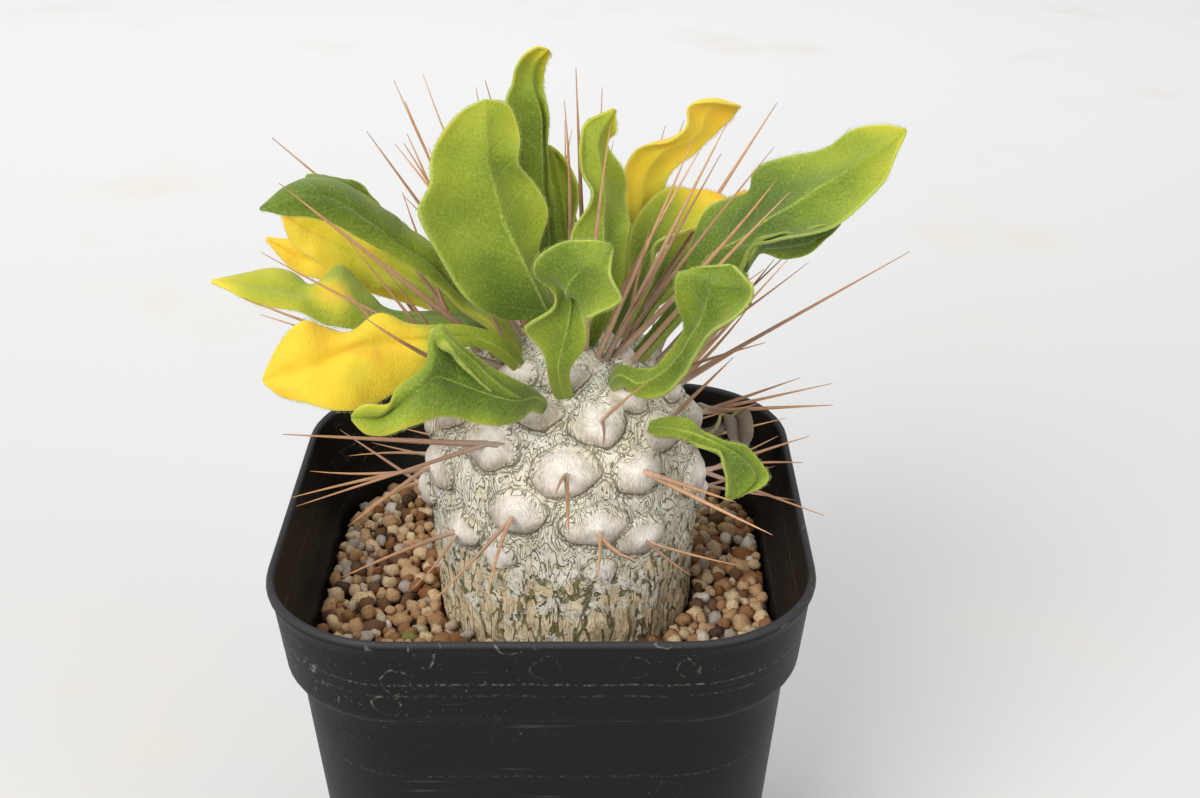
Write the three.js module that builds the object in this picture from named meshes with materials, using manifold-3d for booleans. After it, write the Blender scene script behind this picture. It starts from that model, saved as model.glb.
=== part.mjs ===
// A potted halfmens: a squat, spiny trunk with a crown of waved leaves, in a square black nursery pot.
// Millimetres, +Z up. The origin is the middle of the pot's underside; the photographed side faces -Y.
import * as THREE from "three";
import { mergeVertices } from "three/addons/utils/BufferGeometryUtils.js";
import Module from "manifold-3d";

const wasm = await Module();
wasm.setup();

// Driving dimensions of the pot.
const POT_HEIGHT = 88;
const RIM_HALF = 45;
const BAND_BOTTOM = 72;
const BODY_TOP_HALF = 41.2;
const BASE_HALF = 35.4;
const POT_WALL = 0.95;
const POT_FLOOR = 1.6;
const DRAIN_RADIUS = 3.1;
const DRAIN_COUNT = 8;
const DRAIN_REACH = [19, 25];

// Driving dimensions of the planting.
const SOIL_TOP = 70;
const SOIL_GAP = 0.5;
const HOLE_GAP = 0.45;
const GRAIN_RELIEF = 0.9;
const TRUNK_X = 3.4;
const SEAT_GAP = 0.4;
const LEAF_THICKNESS = 0.85;
const SPINE_RADIUS = 0.55;
const SPINE_SUNK = 3;
const LEAF_SUNK = 3.5;
const CROWN_TOP = 121.2;
const ROOT_BOTTOM = 37.6;

const BLACK_PLASTIC = 0x1c1c1d;
const GRAVEL = 0x9a7a5c;
const BARK = 0xc4bfae;
const LEAF_GREEN = new THREE.Color(0x6f9a3c);
const LEAF_YELLOW = new THREE.Color(0xe6bd2e);
const WITHERED = 0x8c7c70;

// A small seeded generator, so that every build places the same grains and spines.
function seeded(seed) {
  let state = seed;
  return () => {
    state = (state * 16807) % 2147483647;
    return state / 2147483647;
  };
}

// The outline of the trunk: radius and height, from the buried taproot to the middle of the crown.
const TRUNK_PROFILE = [
  [9.5, 38.5],
  [15, 42],
  [19.5, 52],
  [21.8, 62],
  [22.3, 70],
  [22.6, 78],
  [23, 86],
  [23.5, 94],
  [23.2, 101],
  [21.2, 107],
  [18, 112],
  [13.6, 116],
  [8, 119.2],
  [3.5, 120.4],
];

// The bosses seen from the front: angle about the trunk in degrees, height, radius and how far each stands
// out, then the tips of the spines that it carries.
const FRONT_BOSSES = [
  { at: [-88, 105], size: [5.4, 2.5], tips: [[5, -46, 108], [3, -39, 111]] },
  { at: [-71, 111.5], size: [4.9, 2.3], tips: [[10, -33, 116], [17, -33, 127]] },
  { at: [-123, 107.5], size: [5.4, 2.5], tips: [[-41, -20, 111], [-37, -34, 106]] },
  { at: [-56, 103.5], size: [5.2, 2.5], tips: [[36, -36, 102], [30, -38, 109]] },
  { at: [-39, 108], size: [4.8, 2.2], tips: [[33, -26, 124]] },
  { at: [-108, 98], size: [5.2, 2.6], tips: [[-16, -46, 96], [-7, -50, 99]] },
  { at: [-76, 95.5], size: [5.2, 2.6], tips: [[9, -44, 98], [15, -40, 100]] },
  { at: [-135, 91.5], size: [4.6, 2.6], tips: [[-31, -34, 93], [-20, -38, 93]] },
  { at: [-56, 91.5], size: [4.8, 2.3], tips: [[32, -34, 95], [24, -32, 92]] },
  { at: [-105, 113.5], size: [4.6, 2.1], tips: [] },
  { at: [-153, 100], size: [5.2, 2.8], tips: [[-39, -28, 104], [-38, -16, 102], [-30, -30, 100]] },
  { at: [-172, 92.5], size: [4.6, 2.4], tips: [[-30, -16, 94], [-36, 4, 99]] },
  { at: [-18, 97], size: [5, 2.8], tips: [[46, -22, 97], [40, -4, 102], [45, -6, 103], [44, -8, 99]] },
  { at: [-117, 88.5], size: [3.4, 1.2], tips: [] },
  { at: [-87, 117], size: [3.8, 1.8], tips: [] },
  { at: [-49, 114], size: [4.4, 2], tips: [[35, -22, 128]] },
  { at: [-5, 105], size: [4.8, 2.6], tips: [[48, -10, 111], [48, -8, 114], [37, -20, 113], [42, -12, 117]] },
  { at: [-74, 86.5], size: [3, 0.8], tips: [] },
];

// The long spines of the crown: angle and height of the foot, then the tip.
const CROWN_SPINES = [
  { at: [172, 118.5], tip: [-44, 8, 151] },
  { at: [160, 118.5], tip: [-28, 5, 153] },
  { at: [-165, 119.5], tip: [-22, -4, 164] },
  { at: [-170, 119.8], tip: [-18, 0, 164] },
  { at: [150, 119.5], tip: [-24, 8, 150] },
  { at: [-150, 118.5], tip: [-28, -3, 148] },
  { at: [-80, 120], tip: [-8, -4, 164] },
  { at: [-142, 117.5], tip: [-37, -27, 154] },
  { at: [-132, 116.5], tip: [-30, -30, 147] },
  { at: [-160, 115], tip: [-46, -16, 133] },
  { at: [-148, 114], tip: [-43, -18, 131] },
  { at: [-90, 119.8], tip: [4, 2, 159] },
  { at: [-50, 119.8], tip: [5, -10, 161] },
  { at: [20, 119.5], tip: [10, 6, 160] },
  { at: [-20, 119.8], tip: [14, 4, 162] },
  { at: [-35, 119], tip: [22, 2, 159] },
  { at: [-50, 118.5], tip: [24, -10, 157] },
  { at: [-45, 118], tip: [28, -12, 155] },
  { at: [5, 119], tip: [39, 14, 155] },
  { at: [-22, 118], tip: [36, -12, 156] },
  { at: [-35, 118], tip: [36, -16, 152] },
  { at: [-27, 116.5], tip: [38, -18, 151] },
  { at: [22, 119], tip: [32, 12, 143] },
  { at: [-14, 114], tip: [42, -14, 138] },
  { at: [-20, 112], tip: [58, -12, 139] },
];

// The leaves. Each row crosses the blade: left margin, midrib and right margin, as seen in the photograph.
// The first row is the foot on the trunk and the last one the tip.
const LEAVES = [
  {
    name: "leaf_front_broad",
    ripe: 0.08,
    wave: [0.9, 3.5],
    rows: [
      [2, -8, 119],
      [-6, -13, 129, 0, -11, 129, 1, -9, 127],
      [-13, -17, 138, -2, -13, 138, 0, -9, 137],
      [-18, -17, 147, -5, -15, 147, 2, -11, 146],
      [-16, -15, 156, -8, -14, 156, -3, -13, 156],
      [-12, -13, 160, -8, -13, 161, -3, -12, 161],
      [-7, -12, 163],
    ],
  },
  {
    name: "leaf_rear_tall",
    ripe: 0.15,
    wave: [0.8, 3],
    rows: [
      [3, 6, 119],
      [0, 3, 126, 2, 5, 124, 3, 6, 124],
      [-3, 4, 137, 1, 7, 136, 2, 8, 135],
      [-5, 6, 149, 0, 10, 146, 1, 9, 147],
      [-6, 8, 156, -1, 12, 154, 1, 11, 156],
      [-4, 10, 162, -1, 12, 160, 1, 11, 163],
      [0, 11, 165],
    ],
  },
  {
    name: "leaf_rear_oval",
    ripe: 0.2,
    wave: [0.5, 2],
    rows: [
      [5, 10, 118],
      [3, 9, 123, 4, 10, 123, 5, 10, 123],
      [1, 12, 133, 4, 14, 132, 5, 13, 133],
      [0, 15, 139, 3, 16, 139, 6, 15, 139],
      [0, 16, 145, 2, 16, 144, 4, 16, 144],
      [1, 16, 147],
    ],
  },
  {
    name: "leaf_centre_curl",
    ripe: 0.1,
    wave: [0.7, 4],
    rows: [
      [6, -5, 119],
      [9, -4, 127, 10, -4, 127, 12, -3, 127],
      [5, -6, 137, 10, -5, 136, 14, -2, 136],
      [8, -5, 144, 10, -3, 143, 14, 1, 140],
      [8, -4, 148, 10, -2, 147, 14, 4, 144],
      [6, -2, 152, 9, -1, 152, 11, 2, 151],
      [8, 0, 156, 10, 0, 155, 12, 2, 154],
      [12, 1, 158],
    ],
  },
  {
    name: "leaf_rear_yellow",
    ripe: 1,
    wave: [0.7, 3],
    rows: [
      [10, 6, 118],
      [14, 13, 126, 15, 14, 127, 17, 14, 127],
      [14, 15, 140, 17, 17, 135, 19, 18, 133],
      [15, 17, 146, 19, 20, 141, 23, 22, 139],
      [22, 20, 146, 24, 23, 145, 26, 25, 143],
      [25, 23, 150, 27, 25, 148, 29, 27, 147],
      [33, 26, 151],
    ],
  },
  {
    name: "leaf_right_cupped",
    ripe: 0.45,
    wave: [0.5, 2],
    rows: [
      [12, 2, 118],
      [14, 7, 125, 16, 6, 125, 18, 4, 127],
      [15, 12, 132, 18, 8, 130, 19, 4, 134],
      [20, 16, 139, 22, 11, 133, 23, 5, 136],
      [27, 17, 139, 28, 13, 136, 28, 10, 135],
      [32, 14, 138],
    ],
  },
  {
    name: "leaf_rear_right",
    ripe: 0.9,
    wave: [0.4, 2],
    rows: [
      [15, 6, 116],
      [18, 12, 122, 19, 13, 121, 21, 12, 121],
      [21, 20, 126, 23, 19, 125, 26, 17, 124],
      [28, 26, 131, 30, 26, 129, 32, 23, 128],
      [36, 30, 134],
    ],
  },
  {
    name: "leaf_right_long",
    ripe: 0.05,
    wave: [0.8, 3.5],
    rows: [
      [16, -3, 116],
      [23, -3, 128, 24, -5, 128, 25, -6, 127],
      [25, 2, 135, 28, -4, 134, 33, -9, 135],
      [33, 8, 142, 36, -4, 140, 41, -10, 138],
      [40, 9, 148, 43, -2, 145, 49, -6, 142],
      [50, 8, 152, 52, 1, 150, 55, 0, 148],
      [59, 4, 154],
    ],
  },
  {
    name: "leaf_front_right",
    ripe: 0,
    wave: [0.6, 3],
    rows: [
      [13, -10, 115],
      [15, -15, 120, 15, -17, 119, 15, -18, 117],
      [19, -21, 125, 20, -24, 124, 21, -25, 121],
      [22, -23, 130, 23, -27, 130, 25, -31, 132],
      [22, -22, 136, 25, -27, 136, 30, -33, 139],
      [23, -22, 141, 28, -26, 141, 32, -31, 142],
      [29, -27, 142],
    ],
  },
  {
    name: "leaf_front_small",
    ripe: 0.05,
    wave: [0.6, 3],
    rows: [
      [5, -13, 116],
      [1, -17, 124, 3, -18, 125, 6, -17, 124],
      [-2, -22, 131, 3, -22, 131, 8, -21, 131],
      [1, -22, 138, 4, -26, 139, 5, -28, 137],
      [3, -24, 145, 7, -29, 143, 8, -31, 137],
      [10, -27, 146, 10, -30, 142, 11, -32, 139],
      [13, -31, 140],
    ],
  },
  {
    name: "leaf_left_long",
    ripe: 0.05,
    wave: [0.6, 3],
    rows: [
      [-4, -5, 118],
      [-10, -2, 126, -11, -5, 125, -12, -8, 129],
      [-17, -3, 137, -18, -9, 131, -18, -11, 140],
      [-24, -5, 144, -25, -14, 140, -24, -18, 148],
      [-29, -6, 148, -32, -16, 146, -30, -20, 154],
      [-37, -10, 150, -38, -16, 147, -37, -19, 151],
      [-42, -15, 147],
    ],
  },
  {
    name: "leaf_left_yellow",
    ripe: 0.85,
    wave: [0.6, 3],
    rows: [
      [-5, 3, 118],
      [-13, 11, 121, -14, 9, 119, -15, 8, 118],
      [-21, 15, 128, -23, 11, 124, -24, 9, 122],
      [-30, 16, 134, -33, 12, 129, -34, 8, 126],
      [-39, 15, 137, -40, 12, 133, -41, 9, 131],
      [-44, 11, 137],
    ],
  },
  {
    name: "leaf_left_low",
    ripe: 0.55,
    wave: [0.6, 3],
    rows: [
      [-8, -2, 117],
      [-15, 0, 123, -15, -3, 122, -15, -6, 122],
      [-29, 4, 125, -28, -3, 125, -28, -8, 124],
      [-38, 6, 130, -37, -3, 128, -36, -9, 126],
      [-45, 1, 130, -45, -3, 129, -45, -8, 129],
      [-54, -5, 131],
    ],
  },
  {
    name: "leaf_left_tip",
    ripe: 0.95,
    wave: [0.5, 2],
    rows: [
      [-8, 7, 116],
      [-19, 17, 120, -19, 15, 119, -20, 13, 118],
      [-34, 20, 126, -35, 18, 124, -38, 16, 122],
      [-43, 20, 128, -43, 18, 126, -44, 17, 124],
      [-49, 19, 129],
    ],
  },
  {
    name: "leaf_yellow_front",
    ripe: 0.9,
    wave: [0.9, 3],
    rows: [
      [-3, -9, 117],
      [-10, -12, 124, -10, -13, 123, -10, -13, 122],
      [-17, -16, 128, -18, -17, 127, -18, -18, 125],
      [-25, -19, 132, -25, -21, 127, -23, -25, 121],
      [-31, -21, 130, -30, -24, 127, -29, -30, 121],
      [-36, -24, 132, -36, -27, 127, -35, -31, 123],
      [-40, -26, 129, -39, -28, 126, -39, -30, 124],
      [-41, -28, 124],
    ],
  },
  {
    name: "leaf_green_front",
    ripe: 0.05,
    wave: [0.7, 3],
    rows: [
      [-3, -13, 115],
      [-9, -17, 123, -6, -19, 122, -2, -20, 118],
      [-15, -26, 132, -9, -27, 125, -2, -28, 119],
      [-17, -30, 132, -14, -31, 125, -8, -33, 120],
      [-16, -33, 129, -18, -34, 125, -16, -36, 122],
      [-21, -34, 125, -23, -35, 123, -21, -36, 120],
      [-27, -35, 122],
    ],
  },
  {
    name: "leaf_low_right",
    ripe: 0.05,
    wave: [0.3, 2],
    rows: [
      [22, -17, 109],
      [25, -18, 112, 25, -20, 112, 25, -21, 110],
      [30, -20, 110, 29, -22, 110, 29, -25, 110],
      [36, -20, 107, 32, -23, 108, 29, -26, 109],
      [37, -22, 104, 33, -24, 105, 29, -26, 106],
      [34, -24, 102, 32, -25, 103, 30, -26, 104],
      [30, -25, 102],
    ],
  },
  {
    name: "leaf_back_left",
    ripe: 0.1,
    wave: [0.8, 3],
    rows: [
      [-4, 10, 117],
      [-9, 15, 121, -8, 16, 120, -6, 18, 121],
      [-23, 24, 125, -17, 28, 122, -10, 30, 124],
      [-31, 32, 122, -25, 36, 119, -18, 40, 121],
      [-34, 38, 116, -30, 42, 114, -25, 45, 115],
      [-34, 47, 108],
    ],
  },
  {
    name: "leaf_back_middle",
    ripe: 0.15,
    wave: [0.8, 3],
    rows: [
      [4, 15, 115],
      [3, 21, 121, 5, 22, 120, 7, 21, 121],
      [-2, 31, 127, 7, 32, 125, 15, 31, 127],
      [-1, 42, 124, 9, 43, 122, 18, 42, 124],
      [3, 49, 118, 10, 50, 116, 16, 49, 117],
      [11, 54, 110],
    ],
  },
  {
    name: "leaf_back_right",
    ripe: 0.1,
    wave: [0.7, 3],
    rows: [
      [12, 11, 116],
      [18, 18, 119, 20, 17, 118, 21, 16, 119],
      [20, 29, 121, 26, 26, 119, 33, 24, 121],
      [25, 36, 119, 31, 33, 116, 37, 29, 117],
      [32, 40, 113, 35, 38, 111, 38, 34, 112],
      [39, 42, 106],
    ],
  },
  {
    name: "leaf_withered",
    ripe: -1,
    wave: [0.4, 3],
    rows: [
      [25, -8, 103],
      [28, -10, 106, 29, -9, 105, 30, -8, 106],
      [30, -9, 109, 32, -7, 107, 34, -7, 109],
      [31, -9, 105, 33, -8, 104, 35, -9, 105],
      [33, -9, 101],
    ],
  },
];

const v3 = (x, y, z) => new THREE.Vector3(x, y, z);

// A closed solid from plain triangles: corners that fall together are merged, and only positions are kept.
function solidOf(points, faces) {
  const raw = new THREE.BufferGeometry();
  const positions = [];
  for (const face of faces) {
    for (const i of face) {
      positions.push(points[i].x, points[i].y, points[i].z);
    }
  }
  raw.setAttribute("position", new THREE.Float32BufferAttribute(positions, 3));
  return solidFrom(raw);
}

function solidFrom(geometry) {
  const bare = geometry.index ? geometry.toNonIndexed() : geometry.clone();
  bare.deleteAttribute("normal");
  bare.deleteAttribute("uv");
  const merged = mergeVertices(bare, 1e-4);
  const vertProperties = new Float32Array(merged.attributes.position.array);
  const triVerts = new Uint32Array(merged.index.array);
  return new wasm.Manifold(new wasm.Mesh({ numProp: 3, vertProperties, triVerts }));
}

function largestBody(solid) {
  const bodies = solid.decompose();
  bodies.sort((a, b) => b.volume() - a.volume());
  return bodies[0];
}

function meshOf(name, solid, colour, roughness) {
  const data = solid.getMesh();
  const positions = new Float32Array(data.numVert * 3);
  for (let i = 0; i < data.numVert; i += 1) {
    positions.set(data.vertProperties.subarray(i * data.numProp, i * data.numProp + 3), i * 3);
  }
  const geometry = new THREE.BufferGeometry();
  geometry.setAttribute("position", new THREE.BufferAttribute(positions, 3));
  geometry.setIndex(new THREE.BufferAttribute(new Uint32Array(data.triVerts), 1));
  const flat = geometry.toNonIndexed();
  flat.computeVertexNormals();
  const material = new THREE.MeshStandardMaterial({ color: colour, roughness, metalness: 0 });
  const mesh = new THREE.Mesh(flat, material);
  mesh.name = name;
  return mesh;
}

// Rings of equal count joined into one closed skin, with a fan at each end.
function loft(rings, firstTip, lastTip) {
  const points = rings.flat();
  const count = rings[0].length;
  const faces = [];
  for (let k = 0; k + 1 < rings.length; k += 1) {
    for (let i = 0; i < count; i += 1) {
      const a = k * count + i;
      const b = k * count + ((i + 1) % count);
      faces.push([a, b, b + count]);
      faces.push([a, b + count, a + count]);
    }
  }
  points.push(firstTip, lastTip);
  const last = (rings.length - 1) * count;
  for (let i = 0; i < count; i += 1) {
    const next = (i + 1) % count;
    faces.push([points.length - 2, next, i]);
    faces.push([points.length - 1, last + i, last + next]);
  }
  return solidOf(points, faces);
}

// A level ring on a square with rounded corners: straight sides, and a few short edges round each corner.
function squareRing(half, radius, z, cornerEdges) {
  const ring = [];
  for (let corner = 0; corner < 4; corner += 1) {
    const middle = (corner * Math.PI) / 2 + Math.PI / 4;
    const cx = Math.sign(Math.cos(middle)) * (half - radius);
    const cy = Math.sign(Math.sin(middle)) * (half - radius);
    for (let i = 0; i <= cornerEdges; i += 1) {
      const angle = (corner * Math.PI) / 2 + (i / cornerEdges) * (Math.PI / 2);
      ring.push(v3(cx + radius * Math.cos(angle), cy + radius * Math.sin(angle), z));
    }
  }
  return ring;
}

// Where a ray from the middle at this angle leaves the rounded square.
function squareReach(half, radius, angle) {
  const c = Math.abs(Math.cos(angle));
  const s = Math.abs(Math.sin(angle));
  const flat = half / Math.max(c, s);
  const centre = half - radius;
  if (Math.min(c, s) * flat <= centre) {
    return flat;
  }
  const along = centre * (c + s);
  return along + Math.sqrt(along * along - 2 * centre * centre + radius * radius);
}

function bodyHalf(z) {
  return BASE_HALF + ((BODY_TOP_HALF - BASE_HALF) * z) / BAND_BOTTOM;
}

// The pot is one thin shell: a tapering body, a step out to the band under the rim, and a rounded lip.
// Each row of its section is half the width, the corner radius and the height.
function makePot() {
  const cornerEdges = 6;
  const bandHalf = RIM_HALF - 2;
  const outer = [
    [BASE_HALF - 1, 13.2, 0],
    [BASE_HALF, 14, 0.9],
    [bodyHalf(BAND_BOTTOM - 2), 19.4, BAND_BOTTOM - 2],
    [bandHalf - 1.4, 19.8, BAND_BOTTOM - 0.9],
    [bandHalf - 0.3, 20.4, BAND_BOTTOM - 0.1],
    [bandHalf, 20.6, BAND_BOTTOM + 1],
    [RIM_HALF - 0.5, 22, POT_HEIGHT - 1.8],
    [RIM_HALF, 22.4, POT_HEIGHT - 1.1],
    [RIM_HALF - 0.1, 22.3, POT_HEIGHT - 0.4],
    [RIM_HALF - 0.4, 22, POT_HEIGHT],
  ];
  const inner = [
    [RIM_HALF - 0.9, 21.5, POT_HEIGHT],
    [RIM_HALF - 1.2, 21.2, POT_HEIGHT - 0.5],
    [bandHalf - POT_WALL, 19.7, BAND_BOTTOM + 1.6],
    [bodyHalf(BAND_BOTTOM) - POT_WALL, 18.5, BAND_BOTTOM - 0.4],
    [bodyHalf(POT_FLOOR) - POT_WALL, 13.2, POT_FLOOR + 0.8],
    [bodyHalf(POT_FLOOR) - POT_WALL - 0.8, 12.4, POT_FLOOR],
  ];
  const rings = [...outer, ...inner].map(([half, r, z]) => squareRing(half, r, z, cornerEdges));
  let pot = loft(rings, v3(0, 0, 0), v3(0, 0, POT_FLOOR));
  for (let i = 0; i < DRAIN_COUNT; i += 1) {
    const angle = (i * 2 * Math.PI) / DRAIN_COUNT;
    const reach = DRAIN_REACH[i % 2];
    const drain = new THREE.CylinderGeometry(DRAIN_RADIUS, DRAIN_RADIUS, 8, 12);
    drain.rotateX(Math.PI / 2);
    drain.translate(reach * Math.cos(angle), reach * Math.sin(angle), 0);
    pot = pot.subtract(solidFrom(drain));
  }
  return pot;
}

// The soil fills the pot up to its gravel, with a plain tapered hole for the root. The gravel is a relief
// of small heaps, each corner of the skin being one grain's height.
function makeSoil() {
  const around = 72;
  const steps = 7;
  const random = seeded(71);
  const sideHalf = (z) => bodyHalf(z) - POT_WALL - SOIL_GAP;
  const ringAt = (shape) => {
    const ring = [];
    for (let i = 0; i < around; i += 1) {
      ring.push(shape((i / around) * 2 * Math.PI));
    }
    return ring;
  };
  const edge = (angle, half, radius, z) => {
    const reach = squareReach(half, radius, angle);
    return v3(reach * Math.cos(angle), reach * Math.sin(angle), z);
  };
  const hole = (angle, z) => {
    const r = (trunkRadiusAt(z) + HOLE_GAP) / Math.cos(Math.PI / around) + 0.1;
    return v3(TRUNK_X + r * Math.cos(angle), r * Math.sin(angle), z);
  };
  const bottom = POT_FLOOR + SOIL_GAP;
  const rings = [];
  rings.push(ringAt((angle) => edge(angle, sideHalf(bottom) - 1.2, 11.6, bottom)));
  rings.push(ringAt((angle) => edge(angle, sideHalf(bottom + 1.5), 12.6, bottom + 1.5)));
  rings.push(ringAt((angle) => edge(angle, sideHalf(SOIL_TOP - 3), 18, SOIL_TOP - 3)));
  for (let k = 0; k <= steps; k += 1) {
    const share = k / steps;
    rings.push(
      ringAt((angle) => {
        const twist = k % 2 ? Math.PI / around : 0;
        const rim = edge(angle + twist, sideHalf(SOIL_TOP - 2), 18, SOIL_TOP);
        const lip = hole(angle + twist, SOIL_TOP);
        const point = rim.lerp(lip, share);
        const slope = -0.02 * point.y;
        const grain = GRAIN_RELIEF * (2 * random() - 1);
        point.z = SOIL_TOP + slope + (k === 0 || k === steps ? grain * 0.5 - 0.4 : grain);
        return point;
      }),
    );
  }
  rings.push(ringAt((angle) => hole(angle, 62)));
  rings.push(ringAt((angle) => hole(angle, 52)));
  rings.push(ringAt((angle) => hole(angle, 42)));
  rings.push(ringAt((angle) => hole(angle, 38).setZ(37)));
  return loft(rings, v3(0, 0, bottom), v3(TRUNK_X, 0, 37));
}

function trunkRadiusAt(z) {
  for (let i = 0; i + 1 < TRUNK_PROFILE.length; i += 1) {
    const [r0, z0] = TRUNK_PROFILE[i];
    const [r1, z1] = TRUNK_PROFILE[i + 1];
    if (z <= z1) {
      return r0 + ((r1 - r0) * Math.max(z - z0, 0)) / (z1 - z0);
    }
  }
  return 3.5;
}

// A point on the smooth trunk, and the direction that faces out of it there.
function trunkFrame(angle, z) {
  const step = 0.4;
  const rise = (trunkRadiusAt(z + step) - trunkRadiusAt(z - step)) / (2 * step);
  const r = trunkRadiusAt(z);
  const c = Math.cos(angle);
  const s = Math.sin(angle);
  return { point: v3(TRUNK_X + r * c, r * s, z), out: v3(c, s, -rise).normalize() };
}

// The bosses: those read from the photograph first, then a spiral that fills the rest of the trunk.
function placeBosses() {
  const bosses = FRONT_BOSSES.map((boss) => {
    const frame = trunkFrame((boss.at[0] * Math.PI) / 180, boss.at[1]);
    return { ...frame, radius: boss.size[0], height: boss.size[1], tips: boss.tips, placed: true };
  });
  const goldenAngle = 2.39996;
  const lowest = 90;
  const risePerTry = 0.088;
  const crownFrom = 111;
  for (let i = 0; i < 330; i += 1) {
    const z = lowest + i * risePerTry;
    const frame = trunkFrame(i * goldenAngle, z);
    const small = z > crownFrom;
    const spacing = small ? 6.6 : 9;
    if (bosses.every((boss) => boss.point.distanceTo(frame.point) > spacing)) {
      bosses.push({ ...frame, radius: small ? 3.7 : 5, height: small ? 1.7 : 2.4, tips: [], placed: false });
    }
  }
  return bosses;
}

// How far the bosses lift the skin at a point: each is a rounded mound, and where two meet the higher shows.
function bossRelief(point, bosses) {
  let relief = 0;
  for (const boss of bosses) {
    const d = point.distanceTo(boss.point) / boss.radius;
    if (d < 1) {
      relief = Math.max(relief, boss.height * (1 - d * d));
    }
  }
  return relief;
}

// The skin of the trunk. A positive swell gives the same skin standing out by that much, to cut seats with.
function makeTrunk(bosses, swell) {
  const around = 56;
  const heights = [38.5, 46, 56, 66, 71, 76, 81, 84.5];
  for (let z = 87; z < 112; z += 1.9) {
    heights.push(z);
  }
  heights.push(113, 115, 117, 118.6, 119.8, 120.4);
  const rings = heights.map((z) => {
    const ring = [];
    for (let i = 0; i < around; i += 1) {
      const angle = (i / around) * 2 * Math.PI;
      const frame = trunkFrame(angle, z);
      const furrow = z > 70 && z < 90 ? 0.22 * Math.sin(angle * 17 + z * 0.15) : 0;
      const relief = z > 80 ? bossRelief(frame.point, bosses) : 0;
      ring.push(frame.point.addScaledVector(frame.out, relief + furrow + swell));
    }
    return ring;
  });
  return loft(rings, v3(TRUNK_X, 0, ROOT_BOTTOM - swell), v3(TRUNK_X, 0, CROWN_TOP + swell));
}

// A smooth curve through the points of one rail; the share runs from 0 at the foot to 1 at the tip.
function alongRail(points, share) {
  const last = points.length - 1;
  const place = Math.min(Math.max(share, 0), 1) * last;
  const i = Math.min(Math.floor(place), last - 1);
  const t = place - i;
  const p1 = points[i];
  const p2 = points[i + 1];
  const p0 = i > 0 ? points[i - 1] : p1.clone().multiplyScalar(2).sub(p2);
  const p3 = i + 2 <= last ? points[i + 2] : p2.clone().multiplyScalar(2).sub(p1);
  const m1 = p2.clone().sub(p0).multiplyScalar(0.5);
  const m2 = p3.clone().sub(p1).multiplyScalar(0.5);
  const t2 = t * t;
  const t3 = t2 * t;
  return p1
    .clone()
    .multiplyScalar(2 * t3 - 3 * t2 + 1)
    .addScaledVector(m1, t3 - 2 * t2 + t)
    .addScaledVector(p2, -2 * t3 + 3 * t2)
    .addScaledVector(m2, t3 - t2);
}

// The three rails of a leaf: left margin, midrib and right margin. The foot runs on a little into the trunk.
function railsOf(leaf) {
  const core = v3(TRUNK_X, 0, 100);
  const rails = [[], [], []];
  leaf.rows.forEach((row, k) => {
    for (let side = 0; side < 3; side += 1) {
      const at = row.length === 3 ? 0 : side * 3;
      const point = v3(row[at], row[at + 1], row[at + 2]);
      if (k === 0) {
        point.add(core.clone().sub(point).setLength(LEAF_SUNK));
      }
      rails[side].push(point);
    }
  });
  return rails;
}

// A point on the middle surface of a blade: share runs from foot to tip, across from -1 to 1.
// The petiole has its own width, each half is slightly arched, and the margins wave up and down.
function leafPoint(leaf, rails, share, across) {
  const middle = alongRail(rails[1], share);
  const side = across < 0 ? -1 : 1;
  const reach = Math.abs(across);
  const margin = alongRail(rails[side < 0 ? 0 : 2], share);
  const held = Math.min(Math.max(share, 0.12), 0.9);
  const crossing = alongRail(rails[2], held).sub(alongRail(rails[0], held)).normalize();
  const ahead = alongRail(rails[1], Math.min(share + 0.04, 1));
  const behind = alongRail(rails[1], Math.max(share - 0.04, 0));
  const out = ahead.sub(behind).cross(crossing).normalize();
  const petiole = 0.95 - 0.55 * share;
  margin.addScaledVector(crossing, side * petiole);
  const blade = Math.min(1, Math.max(0, (share - 0.15) * 5)) * Math.min(1, (1 - share) * 6);
  const waves = Math.sin((share * leaf.wave[1] + side * 0.17) * 2 * Math.PI);
  const lift = blade * (0.9 * 4 * reach * (1 - reach) + leaf.wave[0] * waves * reach * reach);
  return middle.lerp(margin, reach).addScaledVector(out, lift);
}

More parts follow.
